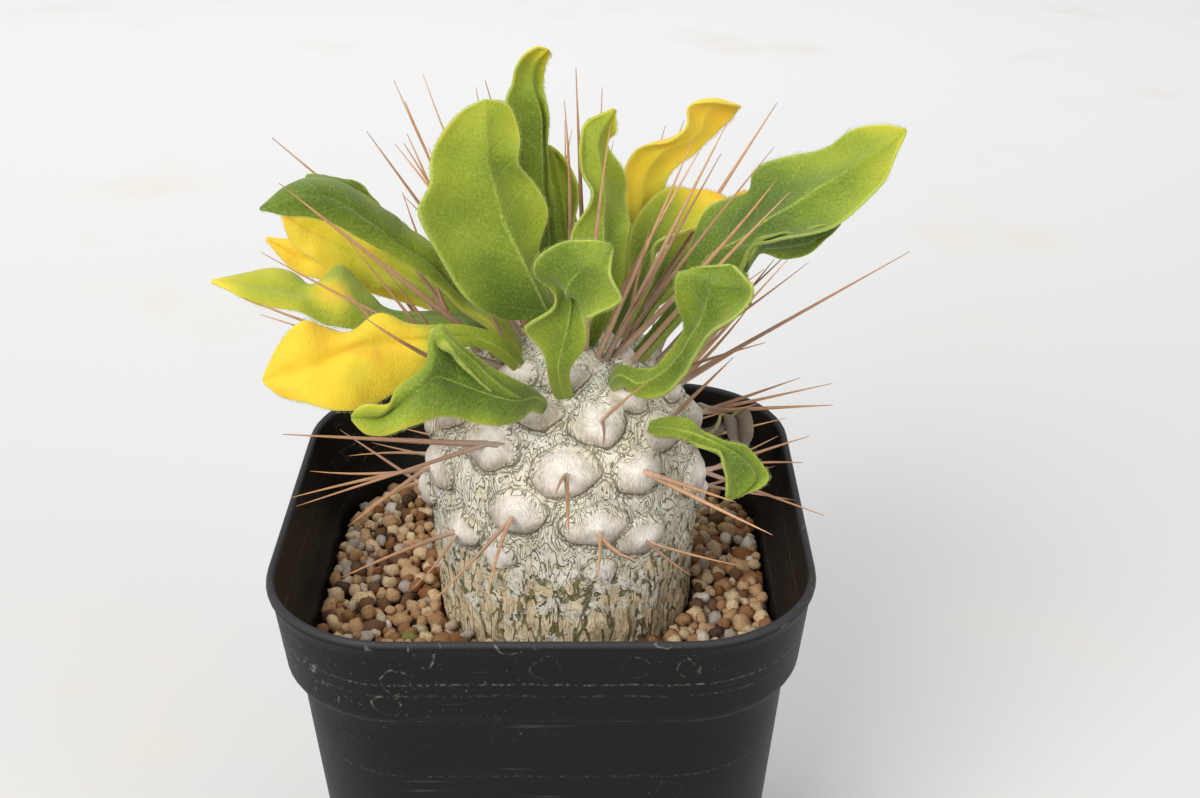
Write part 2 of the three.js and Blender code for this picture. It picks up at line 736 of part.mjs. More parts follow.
// The blade is a thin solid: both faces share the same triangles, with a strip round the edge.
function makeLeaf(leaf, seat) {
  const rails = railsOf(leaf);
  const small = leaf.rows.length < 6;
  const along = small ? 8 : 10;
  const acrossCells = 4;
  const wide = acrossCells + 1;
  const middle = [];
  for (let i = 0; i <= along; i += 1) {
    for (let j = 0; j <= acrossCells; j += 1) {
      middle.push(leafPoint(leaf, rails, i / along, (2 * j) / acrossCells - 1));
    }
  }
  const at = (i, j) => middle[i * wide + j];
  const upper = [];
  const lower = [];
  for (let i = 0; i <= along; i += 1) {
    for (let j = 0; j <= acrossCells; j += 1) {
      const du = at(Math.min(i + 1, along), j).clone().sub(at(Math.max(i - 1, 0), j));
      const dv = at(i, Math.min(j + 1, acrossCells)).clone().sub(at(i, Math.max(j - 1, 0)));
      const out = du.cross(dv).normalize();
      const half = (LEAF_THICKNESS / 2) * (1 + 0.5 * Math.max(0, 1 - (4 * i) / along));
      upper.push(at(i, j).clone().addScaledVector(out, half));
      lower.push(at(i, j).clone().addScaledVector(out, -half));
    }
  }
  const points = [...upper, ...lower];
  const under = upper.length;
  const faces = [];
  const strip = (a, b) => {
    faces.push([a, a + under, b + under]);
    faces.push([a, b + under, b]);
  };
  for (let i = 0; i < along; i += 1) {
    for (let j = 0; j < acrossCells; j += 1) {
      const a = i * wide + j;
      const b = a + wide;
      faces.push([a, b, b + 1]);
      faces.push([a, b + 1, a + 1]);
      faces.push([a + under, b + 1 + under, b + under]);
      faces.push([a + under, a + 1 + under, b + 1 + under]);
    }
    strip(i * wide, (i + 1) * wide);
    strip((i + 1) * wide + acrossCells, i * wide + acrossCells);
  }
  for (let j = 0; j < acrossCells; j += 1) {
    strip(j + 1, j);
    strip(along * wide + j, along * wide + j + 1);
  }
  const blade = solidOf(points, faces);
  return largestBody(blade.subtract(seat));
}

// Points spread over every blade, for keeping the spines clear of them.
function bladePoints() {
  const points = [];
  for (const leaf of LEAVES) {
    const rails = railsOf(leaf);
    for (let i = 1; i <= 40; i += 1) {
      for (let j = -8; j <= 8; j += 1) {
        points.push(leafPoint(leaf, rails, i / 40, j / 8));
      }
    }
  }
  return points;
}

// A spine swings aside, a little further each time, until it passes clear of every blade.
function clearSpine(foot, tip, blades) {
  const keepOff = 1.7;
  const line = tip.clone().sub(foot);
  const length = line.length();
  const sideways = line.clone().cross(v3(0.3, 0.2, 1)).normalize();
  const upwards = sideways.clone().cross(line).normalize();
  for (let attempt = 0; attempt < 40; attempt += 1) {
    const aside = (by, turn) =>
      sideways
        .clone()
        .multiplyScalar(by * Math.cos(turn))
        .addScaledVector(upwards, by * Math.sin(turn));
    const end = tip.clone().add(aside(0.012 * attempt * length, attempt * 2.4));
    const start = foot.clone().add(aside(0.09 * attempt, attempt * 1.7));
    let clear = true;
    for (let d = 0.7; d <= length && clear; d += 1.4) {
      const p = start.clone().lerp(end, d / length);
      clear = blades.every((q) => Math.abs(q.x - p.x) > keepOff || q.distanceTo(p) > keepOff);
    }
    if (clear) {
      return { foot: start, tip: end };
    }
  }
  return null;
}

// Every spine as a foot and a tip. Those in the photograph come first; the rest follow a rule: two or three
// from each boss, longer and steeper towards the crown.
function placeSpines(bosses) {
  const blades = bladePoints();
  const random = seeded(2207);
  const spines = [];
  const add = (foot, tip) => {
    const spine = clearSpine(foot, tip, blades);
    if (spine) {
      spines.push(spine);
    }
  };
  for (const boss of bosses) {
    const foot = boss.point.clone().addScaledVector(boss.out, boss.height * 0.7);
    for (const tip of boss.tips) {
      add(foot, v3(...tip));
    }
  }
  for (const spine of CROWN_SPINES) {
    const frame = trunkFrame((spine.at[0] * Math.PI) / 180, spine.at[1]);
    add(frame.point, v3(...spine.tip));
  }
  for (const boss of bosses) {
    if (boss.placed) {
      continue;
    }
    const high = Math.min(1, Math.max(0, (boss.point.z - 96) / 22));
    const around = v3(-boss.out.y, boss.out.x, 0).normalize();
    const foot = boss.point.clone().addScaledVector(boss.out, boss.height * 0.7);
    const count = high > 0.55 ? 3 : 2;
    for (let i = 0; i < count; i += 1) {
      const spread = (i - (count - 1) / 2) * (0.55 + 0.25 * random());
      const rise = 0.1 + 0.75 * high + 0.35 * (random() - 0.5);
      const length = (15 + 19 * high) * (0.75 + 0.5 * random());
      const way = boss.out.clone().addScaledVector(around, spread);
      way.z += rise;
      add(foot, foot.clone().addScaledVector(way.normalize(), length));
    }
  }
  return spines;
}

// One spine: a slender three-sided point with its foot sunk in the trunk.
function spineSolid(spine) {
  const line = spine.tip.clone().sub(spine.foot).normalize();
  const foot = spine.foot.clone().addScaledVector(line, -SPINE_SUNK);
  const sideways = line.clone().cross(v3(0.3, 0.2, 1)).normalize();
  const upwards = sideways.clone().cross(line).normalize();
  const points = [spine.tip.clone()];
  for (let i = 0; i < 3; i += 1) {
    const angle = (i * 2 * Math.PI) / 3;
    points.push(
      foot
        .clone()
        .addScaledVector(sideways, SPINE_RADIUS * Math.cos(angle))
        .addScaledVector(upwards, SPINE_RADIUS * Math.sin(angle)),
    );
  }
  const solid = solidOf(points, [[0, 1, 2], [0, 2, 3], [0, 3, 1], [1, 3, 2]]);
  if (solid.volume() > 0) {
    return solid;
  }
  return solidOf(points, [[0, 2, 1], [0, 3, 2], [0, 1, 3], [1, 2, 3]]);
}

function leafColour(leaf) {
  return leaf.ripe < 0 ? WITHERED : LEAF_GREEN.clone().lerp(LEAF_YELLOW, leaf.ripe);
}

const group = new THREE.Group();
group.name = "potted_halfmens";
group.add(meshOf("pot", makePot(), BLACK_PLASTIC, 0.55));
group.add(meshOf("soil", makeSoil(), GRAVEL, 0.95));

const bosses = placeBosses();
let stem = makeTrunk(bosses, 0);
for (const spine of placeSpines(bosses)) {
  stem = stem.add(spineSolid(spine));
}
group.add(meshOf("stem", stem, BARK, 0.85));

const seat = makeTrunk(bosses, SEAT_GAP);
for (const leaf of LEAVES) {
  group.add(meshOf(leaf.name, makeLeaf(leaf, seat), leafColour(leaf), 0.65));
}

export default group;
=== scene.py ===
# %% [markdown]
# # A potted halfmens
#
# This lesson builds the visible model of a young halfmens: a squat, silvery trunk set with spiny bosses,
# a crown of waved leaves that ripen from green to yellow, and a square black nursery pot of gravelly soil.
# A plain solid model of it has been packed already. It is loaded first and stays where it is, and every
# finer piece is then made at the same place, so the two agree. Blender works in metres. The sizes below
# are in millimetres, which suit a pot of 90 mm, and `MM` turns them into metres.

# %% The fixed frame
import math

import bmesh
import bpy
import numpy as np
from mathutils import Matrix, Vector, noise


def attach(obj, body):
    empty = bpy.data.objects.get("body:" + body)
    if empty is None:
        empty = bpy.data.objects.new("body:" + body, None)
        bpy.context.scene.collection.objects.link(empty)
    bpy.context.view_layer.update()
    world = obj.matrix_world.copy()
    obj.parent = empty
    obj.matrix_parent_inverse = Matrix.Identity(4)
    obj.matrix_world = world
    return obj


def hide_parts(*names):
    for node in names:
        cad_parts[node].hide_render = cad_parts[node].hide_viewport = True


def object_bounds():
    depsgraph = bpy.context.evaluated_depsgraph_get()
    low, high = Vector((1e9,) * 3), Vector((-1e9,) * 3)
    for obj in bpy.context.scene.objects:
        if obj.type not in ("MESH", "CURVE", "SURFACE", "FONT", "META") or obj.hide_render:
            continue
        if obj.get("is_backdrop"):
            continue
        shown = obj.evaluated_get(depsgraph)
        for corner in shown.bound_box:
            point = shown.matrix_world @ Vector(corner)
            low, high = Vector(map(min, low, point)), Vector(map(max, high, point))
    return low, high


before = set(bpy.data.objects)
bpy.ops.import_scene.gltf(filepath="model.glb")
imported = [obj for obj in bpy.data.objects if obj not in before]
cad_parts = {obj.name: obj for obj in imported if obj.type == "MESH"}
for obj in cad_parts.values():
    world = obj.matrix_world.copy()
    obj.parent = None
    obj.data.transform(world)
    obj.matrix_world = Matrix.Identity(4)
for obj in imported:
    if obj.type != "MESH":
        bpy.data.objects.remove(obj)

MM = 0.001
cad_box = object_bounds()


def told(box):
    """A box's lowest and highest corner, rounded for printing."""
    return [[round(v, 4) for v in corner] for corner in box]


print("solid model, lowest and highest corner:", told(cad_box))

# %% [markdown]
# ## Working by hand, in code
#
# A Blender operator acts on all that is selected, much as a tool acts on all that the hand holds. So before
# each one everything is deselected and only the piece at hand is picked up. These helpers do that, apply a
# modifier for good, select parts of a mesh by their place, and put the finished piece into the frame.


# %% Helpers for picking up, shaping and settling a piece
def put_down():
    """Leaves edit mode and deselects everything."""
    if bpy.context.mode != "OBJECT":
        bpy.ops.object.mode_set(mode="OBJECT")
    bpy.ops.object.select_all(action="DESELECT")


def pick_up(*pieces):
    """Selects these pieces alone; the first one becomes active."""
    put_down()
    for piece in pieces:
        piece.select_set(True)
    bpy.context.view_layer.objects.active = pieces[0]
    return pieces[0]


def select_where(piece, kind, test):
    """In edit mode, selects the vertices, edges or faces whose own test is true, and nothing else."""
    bpy.ops.mesh.select_all(action="DESELECT")
    bpy.ops.mesh.select_mode(type={"verts": "VERT", "edges": "EDGE", "faces": "FACE"}[kind])
    mesh = bmesh.from_edit_mesh(piece.data)
    for element in getattr(mesh, kind):
        element.select_set(bool(test(element)))
    mesh.select_flush_mode()
    bmesh.update_edit_mesh(piece.data)


def apply_modifier(piece, kind, **settings):
    """Adds one modifier and applies it at once."""
    pick_up(piece)
    modifier = piece.modifiers.new(kind.lower(), kind)
    for name, value in settings.items():
        setattr(modifier, name, value)
    bpy.ops.object.modifier_apply(modifier=modifier.name)


def triangles(piece):
    return sum(len(face.vertices) - 2 for face in piece.data.polygons)


def settle(piece, name, slot, *nodes):
    """Names a finished piece, leaves its place in its mesh, and lets it ride in the frame."""
    pick_up(piece)
    bpy.ops.object.transform_apply(location=True, rotation=True, scale=True)
    piece.name = name
    piece.data.name = name
    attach(piece, "root")
    if nodes:
        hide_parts(*nodes)
    print(name, "has", triangles(piece), "triangles")
    return piece


# %% [markdown]
# ## The camera
#
# The picture was taken from a little above, close to the plant: a 50 mm lens at about 285 mm. So near, the
# rim of the pot looks much wider in front than behind. A camera made with an operator is placed first and
# then turned to look at a point on the trunk.

# %% Camera at the picture's viewing angle
CAMERA_AT = Vector((9.10, -253.73, 236.56)) * MM
LOOKS_AT = Vector((9.63, 0, 107.06)) * MM


def turn_towards(piece, point):
    """Turns a camera or a lamp so that it looks at a point."""
    piece.rotation_euler = (point - piece.location).to_track_quat("-Z", "Y").to_euler()


put_down()
bpy.ops.object.camera_add(location=CAMERA_AT)
camera = bpy.context.object
turn_towards(camera, LOOKS_AT)
camera.data.lens = 49.9
camera.data.sensor_width = 36
camera.data.clip_start = 0.01
bpy.context.scene.camera = camera
print("camera stands", round((LOOKS_AT - CAMERA_AT).length / MM), "mm from the trunk")

# %% [markdown]
# ## Floor and light
#
# A plant is pictured on a sheet of pale paper under large soft lights. The strongest one stands low at the
# front left, so that the upright trunk is as bright as the level floor. One broad lamp above and a little
# behind gives the tops of the bosses and leaves their glow, one at the right opens the shadows, and a pale
# world fills in the rest. The colours are kept as they are by the Standard view.

# %% Floor, lamps and world
FLOOR_SIZE = 6.0
LIT_POINT = Vector((0, 0, 0.1))
LAMPS = [
    # name, place in metres, width in metres, power in watts, colour
    ("lamp_above", (-0.2, 0.45, 1.2), 0.9, 5.5, (1, 1, 1)),
    ("lamp_front_left", (-0.6, -0.95, 0.9), 0.75, 14.0, (1, 0.985, 0.96)),
    ("lamp_right", (1.0, -0.7, 0.5), 0.5, 3.6, (1, 0.98, 0.95)),
]

put_down()
bpy.ops.mesh.primitive_plane_add(size=FLOOR_SIZE, location=(0, 0, 0))
floor = bpy.context.object
floor.name = "paper_floor"
floor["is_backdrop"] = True

for name, place, width, power, colour in LAMPS:
    put_down()
    bpy.ops.object.light_add(type="AREA", location=place)
    lamp = bpy.context.object
    lamp.name = name
    turn_towards(lamp, LIT_POINT)
    lamp.data.size = width
    lamp.data.energy = power
    lamp.data.color = colour

world = bpy.data.worlds.new("pale_room")
bpy.context.scene.world = world
world.use_nodes = True
sky = world.node_tree.nodes["Background"].inputs
sky["Color"].default_value = (0.98, 0.99, 1.0, 1)
sky["Strength"].default_value = 0.5
bpy.context.scene.view_settings.view_transform = "Standard"

# %% [markdown]
# ## Writing a finish as a sum
#
# A material is a graph of small steps. Drawn by hand it is a web of noodles; in code it reads best as plain
# arithmetic. `Wire` stands for one socket of the graph, and an operator on it adds the Math node that does
# that sum. `Finish` holds one material and adds any other kind of node. Colours are mixed with a Mix node,
# because a Math node would turn them grey.


# %% Shader arithmetic
class Wire:
    """A socket that gives a value; sums with it add Math nodes."""

    def __init__(self, finish, socket):
        self.finish = finish
        self.socket = socket

    def math(self, operation, first, second=0.0):
        return self.finish.node("Math", {"operation": operation}, {0: first, 1: second})

    def __add__(self, other):
        return self.math("ADD", self, other)

    def __radd__(self, other):
        return self.math("ADD", other, self)

    def __sub__(self, other):
        return self.math("SUBTRACT", self, other)

    def __rsub__(self, other):
        return self.math("SUBTRACT", other, self)

    def __mul__(self, other):
        return self.math("MULTIPLY", self, other)

    def __rmul__(self, other):
        return self.math("MULTIPLY", other, self)

    def __abs__(self):
        return self.math("ABSOLUTE", self)

    def most(self, other):
        return self.math("MAXIMUM", self, other)

    def least(self, other):
        return self.math("MINIMUM", self, other)

    def sine(self):
        return self.math("SINE", self)


class Finish:
    """One material while it is being made."""

    def __init__(self, name, **fixed):
        self.material = bpy.data.materials.new(name)
        self.material.use_nodes = True
        self.tree = self.material.node_tree
        self.shader = self.tree.nodes["Principled BSDF"]
        for socket, value in fixed.items():
            self.shader.inputs[socket.replace("_", " ")].default_value = value

    def node(self, kind, settings=None, sockets=None, output=0):
        made = self.tree.nodes.new("ShaderNode" + kind)
        for name, value in (settings or {}).items():
            if name == "stops":
                self.set_stops(made.color_ramp, value)
            else:
                setattr(made.color_ramp if kind == "ValToRGB" else made, name, value)
        for name, value in (sockets or {}).items():
            if isinstance(value, Wire):
                self.tree.links.new(value.socket, made.inputs[name])
            else:
                made.inputs[name].default_value = value
        return Wire(self, made.outputs[output])

    def set_stops(self, ramp, stops):
        ramp.elements.remove(ramp.elements[-1])
        ramp.elements[0].position = stops[0][0]
        ramp.elements[0].color = shade(*stops[0][1:])
        for place, *colour in stops[1:]:
            ramp.elements.new(place).color = shade(*colour)

    def feed(self, socket, wire):
        self.tree.links.new(wire.socket, self.shader.inputs[socket])

    def place(self, scale=(1, 1, 1)):
        """Object coordinates, stretched by a scale in cells per metre."""
        where = self.node("TexCoord", output="Object")
        return self.node("Mapping", {"vector_type": "POINT"}, {"Vector": where, "Scale": scale})

    def axis(self, name, where):
        """One of X, Y and Z of a place."""
        return self.node("SeparateXYZ", {}, {"Vector": where}, output=name)

    def attribute(self, name):
        return self.node("Attribute", {"attribute_name": name}, output="Fac")

    def cloud(self, where, scale=1.0, detail=3.0, rough=0.55, warp=0.0):
        sockets = {"Vector": where, "Scale": scale, "Detail": detail}
        sockets |= {"Roughness": rough, "Distortion": warp}
        return self.node("TexNoise", {}, sockets, output="Fac")

    def step(self, value, low, high):
        """0 below low, 1 above high, with a soft change between them; low above high turns it round."""
        sockets = {"Value": value, "From Min": low, "From Max": high}
        return self.node("MapRange", {"interpolation_type": "SMOOTHSTEP"}, sockets)

    def mix(self, share, first, second, blend="MIX"):
        settings = {"data_type": "RGBA", "blend_type": blend}
        return self.node("Mix", settings, {0: share, 6: first, 7: second}, output=2)

    def ramp(self, value, stops, interpolation="LINEAR"):
        """A colour for each value; a stop is its place and its red, green and blue as on a screen."""
        settings = {"stops": stops, "interpolation": interpolation}
        return self.node("ValToRGB", settings, {"Fac": value}, output="Color")

    def relief(self, height, depth):
        """A bump of this depth in metres on the shader's normal."""
        sockets = {"Height": height, "Strength": 1.0, "Distance": depth}
        self.feed("Normal", self.node("Bump", {}, sockets))


def shade(red, green, blue):
    """A colour given as on a screen, from 11 to 255, turned into light amounts."""
    return tuple(((v / 255 + 0.055) / 1.055) ** 2.4 for v in (red, green, blue)) + (1,)


print("shader helpers ready; mid grey is", round(shade(128, 128, 128)[0], 3))


# %% The paper of the floor
def paper():
    finish = Finish("pale_paper", Roughness=0.9, Specular_IOR_Level=0.2)
    where = finish.place((9, 9, 9))
    warm = finish.step(finish.cloud(where, 1.0, 4), 0.55, 0.8)
    # painted shade and light: the paper is darker towards the front and lighter towards the back, as the
    # lamps' light falls off
    away = finish.axis("Y", finish.place())
    painted_near_shade = finish.mix(finish.step(away, -0.3, 0.02), shade(188, 184, 176), shade(221, 221, 220))
    tone = finish.mix(finish.step(away, 0.05, 0.8), painted_near_shade, shade(250, 250, 250))
    finish.feed("Base Color", finish.mix(warm * 0.5, tone, shade(235, 219, 194)))
    return finish.material


floor.data.materials.append(paper())
print("floor finish:", floor.data.materials[0].name)

# %% [markdown]
# ## The nursery pot
#
# The pot is moulded in one piece from black polypropylene: a square body with round corners that narrows
# downwards, a step out to a band under the rim, and a thin rolled lip. It could be cut from a cube, but a
# moulded shell is easier to draw up from its floor. A plane has its corners bevelled round, and is then
# extruded upwards ring by ring, each ring scaled to its own width, over the lip and down the inside again.

# %% Sizes of the pot
POT_HEIGHT = 88
RIM_HALF = 45
BAND_BOTTOM = 72
BODY_TOP_HALF = 41.2
BASE_HALF = 35.4
POT_WALL = 0.95
POT_FLOOR = 1.6
CORNER_SHARE = 0.487
BAND_HALF = RIM_HALF - 2


def body_half(z):
    """Half the width of the tapering body at a height."""
    return BASE_HALF + (BODY_TOP_HALF - BASE_HALF) * z / BAND_BOTTOM


# half the width and the height of each ring, in the order in which the shell is drawn up
OUTSIDE = [
    (BASE_HALF - 1, 0), (BASE_HALF - 0.3, 0.25), (BASE_HALF, 0.9), (body_half(66), 66),
    (body_half(69.4), 69.4), (body_half(70.2) + 0.15, 70.2), (BAND_HALF - 1.0, 71.0),
    (BAND_HALF - 0.3, 71.5), (BAND_HALF, 72.2), (BAND_HALF + 0.1, 73.2), (RIM_HALF - 0.75, 84.6),
    (RIM_HALF - 0.5, 85.9), (RIM_HALF - 0.12, 86.5), (RIM_HALF, 87.1), (RIM_HALF - 0.1, 87.7),
    (RIM_HALF - 0.35, POT_HEIGHT),
]
INSIDE = [
    (RIM_HALF - 0.85, POT_HEIGHT), (RIM_HALF - 1.1, 87.8), (RIM_HALF - 1.3, 87.2), (BAND_HALF + 0.75, 84),
    (BAND_HALF - POT_WALL, 74.4), (BAND_HALF - POT_WALL - 0.3, 73.4),
    (BODY_TOP_HALF - POT_WALL + 0.3, 72.2), (BODY_TOP_HALF - POT_WALL, 71.2),
    (body_half(3) - POT_WALL, 3), (body_half(2) - POT_WALL - 0.4, 1.9),
    (body_half(POT_FLOOR) - POT_WALL - 1.2, POT_FLOOR),
]
print("wall at the rim:", round(OUTSIDE[-1][0] - INSIDE[0][0], 2), "mm")


# %% Drawing up the shell
def draw_up(rings, segments):
    """Bevels a level plane's corners into arcs and extrudes it through rings of half width and height."""
    half, z = rings[0]
    put_down()
    bpy.ops.mesh.primitive_plane_add(size=2 * half * MM, location=(0, 0, z * MM))
    shell = bpy.context.object
    bpy.ops.object.mode_set(mode="EDIT")
    bpy.ops.mesh.select_all(action="SELECT")
    corner = half * CORNER_SHARE * MM
    bpy.ops.mesh.bevel(offset=corner, segments=segments, affect="VERTICES", profile=0.5)
    bpy.ops.mesh.select_all(action="SELECT")
    for next_half, next_z in rings[1:]:
        bpy.ops.mesh.extrude_region_move(TRANSFORM_OT_translate={"value": (0, 0, (next_z - z) * MM)})
        size = next_half / half
        bpy.ops.transform.resize(value=(size, size, 1))
        half, z = next_half, next_z
    bpy.ops.mesh.select_all(action="SELECT")
    bpy.ops.mesh.normals_make_consistent(inside=False)
    put_down()
    return shell


pot = draw_up(OUTSIDE + INSIDE, 14)
print("pot shell:", len(pot.data.polygons), "faces")

# %% [markdown]
# Water leaves the pot through eight round holes in its floor. They are cut with cylinders and a Boolean
# modifier, as a drill would, which is simpler and cleaner than cutting the floor by hand.

# %% Drain holes
DRAIN_RADIUS = 3.1
DRAIN_COUNT = 8
DRAIN_REACH = (19, 25)


def cut_away(piece, cutter):
    """Takes the cutter's shape out of a piece and deletes the cutter."""
    apply_modifier(piece, "BOOLEAN", operation="DIFFERENCE", object=cutter, solver="EXACT")
    bpy.data.objects.remove(cutter)


drills = []
for i in range(DRAIN_COUNT):
    angle = i * 2 * math.pi / DRAIN_COUNT
    reach = DRAIN_REACH[i % 2] * MM
    place = (reach * math.cos(angle), reach * math.sin(angle), 0)
    put_down()
    bpy.ops.mesh.primitive_cylinder_add(vertices=28, radius=DRAIN_RADIUS * MM, depth=8 * MM, location=place)
    drills.append(bpy.context.object)
pick_up(*drills)
bpy.ops.object.join()
cut_away(pot, bpy.context.object)
pick_up(pot)
bpy.ops.object.shade_smooth_by_angle(angle=math.radians(38))
print("pot with drain holes:", len(pot.data.polygons), "faces")

# %% [markdown]
# Old nursery plastic is never quite black. It carries a faint moulded grain, pale rings where drops of
# hard water dried, a few level tide lines, scuffs, and dust inside above the gravel. All of these are thin
# masks laid over a near black base, and each also makes the plastic duller where it lies.


# %% The finish of the plastic
TIDE_LINES = [(0.0795, 0.18), (0.0772, 0.07), (0.0585, 0.07), (0.0716, 0.09)]  # height in metres, strength


def plastic(name, dust):
    finish = Finish(name, Specular_IOR_Level=0.16)
    where = finish.place()
    height = finish.axis("Z", where)
    haze = finish.cloud(where, 70, 5, 0.6)
    patches = finish.step(finish.cloud(where, 24, 3), 0.46, 0.62)
    wobble = finish.node("TexNoise", {}, {"Vector": where, "Scale": 300, "Detail": 2}, output="Color")
    bent = finish.node("VectorMath", {"operation": "MULTIPLY_ADD"}, {0: wobble, 1: (0.0022,) * 3, 2: where})
    drop = {"Vector": bent, "Scale": 150, "Randomness": 0.9}
    distance = finish.node("TexVoronoi", {"feature": "F1"}, drop, output="Distance")
    broken = finish.step(finish.cloud(where, 900, 2), 0.42, 0.72)
    ring = finish.step(abs(distance - 0.36), 0.035, 0.008) * broken * patches
    band = finish.step(height, 0.073, 0.076)
    marks = ring * (0.05 + 0.24 * band)
    specks = finish.step(finish.cloud(where, 1500, 2, 0.7), 0.66, 0.8) * patches
    marks = marks.most(specks * 0.3)
    for level, strength in TIDE_LINES:
        sway = (finish.cloud(where, 90, 2) - 0.5) * 0.0012
        line = finish.step(abs(height + sway - level), 0.00032, 0.00006)
        dots = finish.step(finish.cloud(where, 1300, 3), 0.44, 0.7)
        marks = marks.most(line * dots * strength)
    scuff = finish.step(finish.cloud(finish.place((40, 40, 700)), 1.0, 3), 0.66, 0.8)
    marks = marks.most(scuff * 0.1)
    dusty = finish.step(haze, 0.35, 0.75) * dust
    black = finish.mix(haze, shade(18, 18, 18), shade(28, 27, 27))
    # painted highlight: the top of the lip is made a lighter grey, as light catching it
    black = finish.mix(finish.step(height, 0.087, 0.0877) * 0.45, black, shade(80, 80, 84))
    dull = finish.mix(dusty, black, shade(96, 80, 64))
    finish.feed("Base Color", finish.mix(marks, dull, shade(205, 203, 196)))
    finish.feed("Roughness", 0.42 + 0.16 * haze + 0.3 * marks.most(dusty))
    grain = finish.cloud(where, 2600, 2)
    finish.relief(grain + marks * 0.6, 0.00006)
    return finish.material


pot.data.materials.append(plastic("matte_black_plastic", 0.0))
pot.data.materials.append(plastic("dusty_black_plastic", 0.14))
for face in pot.data.polygons:
    middle = face.center / MM
    inward = face.normal.x * middle.x + face.normal.y * middle.y < 0
    face.material_index = 1 if inward and POT_FLOOR < middle.z < POT_HEIGHT - 1 else 0
settle(pot, "dressed_pot", "pot_plastic", "pot")

# %% [markdown]
# ## The soil and its gravel
#
# Under the gravel lies a dark potting mix. It is drawn up from a rounded plane as the pot was, and a plug
# the shape of the taproot is taken out of it, so that the root stands in a real hole. The grains then lie
# on top of it. They could be scattered by a particle system, but particles aren't kept when the model is
# exported, and real grains rest on each other. So each grain is dropped: of ten random places it takes the
# one where it lies deepest under the gravel's surface, as high as the grains that it touches let it lie.

# %% The bed of potting mix
SOIL_TOP = 70
SOIL_BED = 67.4
SOIL_GAP = 0.35
PLUG_GAP = 0.4
PLUG_HEIGHTS = (37.4, 42, 52, 62, 70, 76)
TRUNK_X = 3.4
# radius and height of the smooth trunk and its taproot, from below
TRUNK_PROFILE = [
    (9.5, 38.5), (15, 42), (19.5, 52), (21.8, 62), (22.3, 70), (22.6, 78), (23, 86), (23.5, 94),
    (23.2, 101), (21.2, 107), (18, 112), (13.6, 116), (8, 119.2), (3.5, 120.4),
]


def trunk_radius(z):
    """The radius of the smooth trunk at a height, or at an array of heights."""
    radii, heights = zip(*TRUNK_PROFILE)
    return np.interp(z, heights, radii)


def soil_half(z):
    return body_half(z) - POT_WALL - SOIL_GAP


def ring_up(piece, cuts):
    """Subdivides the upright edges of a cylinder or cone of unit height, so that it gets more rings."""
    pick_up(piece)
    bpy.ops.object.mode_set(mode="EDIT")
    select_where(piece, "edges", lambda e: abs(e.verts[0].co.z - e.verts[1].co.z) > 0.5)
    bpy.ops.mesh.subdivide(number_cuts=cuts)
    put_down()


bed_rings = [(soil_half(2.0) - 1.2, 2.1), (soil_half(3.5), 3.6), (soil_half(SOIL_BED - 1), SOIL_BED - 1)]
bed = draw_up(bed_rings + [(soil_half(SOIL_BED) - 0.5, SOIL_BED)], 10)
bpy.ops.mesh.primitive_cylinder_add(vertices=40, radius=1, depth=1, location=(TRUNK_X * MM, 0, 0))
plug = bpy.context.object
ring_up(plug, len(PLUG_HEIGHTS) - 2)
for vertex in plug.data.vertices:
    z = PLUG_HEIGHTS[round((vertex.co.z + 0.5) * (len(PLUG_HEIGHTS) - 1))]
    radius = (float(trunk_radius(z)) + PLUG_GAP) * MM
    vertex.co = Vector((vertex.co.x * radius, vertex.co.y * radius, z * MM))
cut_away(bed, plug)
print("potting mix bed, top at", SOIL_BED, "mm")

# %% [markdown]
# A grain of this mix is a rounded lump, 2 to 4 mm across. Six are modelled, each from an icosphere that is
# stretched and has its points pushed about at random, and every grain in the pot is a turned and scaled
# copy of one of them.


# %% Six grains to copy
def model_grain(seed, stretch):
    put_down()
    bpy.ops.mesh.primitive_ico_sphere_add(subdivisions=2, radius=0.5)
    grain = bpy.context.object
    bpy.ops.object.mode_set(mode="EDIT")
    bpy.ops.mesh.select_all(action="SELECT")
    bpy.ops.transform.resize(value=stretch)
    bpy.ops.transform.vertex_random(offset=0.085, uniform=0.5, normal=0.5, seed=seed)
    put_down()
    return grain


STRETCHES = [
    (1.12, 0.98, 0.86), (1.25, 0.9, 0.82), (1.0, 1.02, 0.94),
    (1.18, 0.86, 0.9), (1.05, 1.08, 0.78), (1.3, 0.98, 0.8),
]
FIRST_GRAIN_SEED = 11
grains = [model_grain(FIRST_GRAIN_SEED + i, stretch) for i, stretch in enumerate(STRETCHES)]
print("grains modelled:", len(grains), "of", len(grains[0].data.polygons), "faces each")


# %% Dropping the grains
GRAIN_TRIES = 4200
GRAIN_MOST = 1900
GRAIN_CHOICES = 10
GRAIN_LEAST_RADIUS = 0.8
GRAIN_MOST_RADIUS = 2.3
SETTLING = 0.86  # how near two grains come, as a share of their radii, since they aren't quite round
draw = np.random.default_rng(71)


def bump(x, y, place, spread):
    """1 at a place in the plan, and falling away round it; spread is in square millimetres."""
    return np.exp(-((x - place[0]) ** 2 + (y - place[1]) ** 2) / spread)


def gravel_height(x, y):
    """How high the gravel stands: banked up in the near left corner, hollow beside the trunk."""
    bank = 1.6 * bump(x, y, (-31, -31), 160)
    hollow = 1.9 * bump(x, y, (-24, -12), 60)
    right = 0.5 * bump(x, y, (33, -20), 200)
    return SOIL_TOP + 0.7 - 0.02 * y + bank - hollow + right


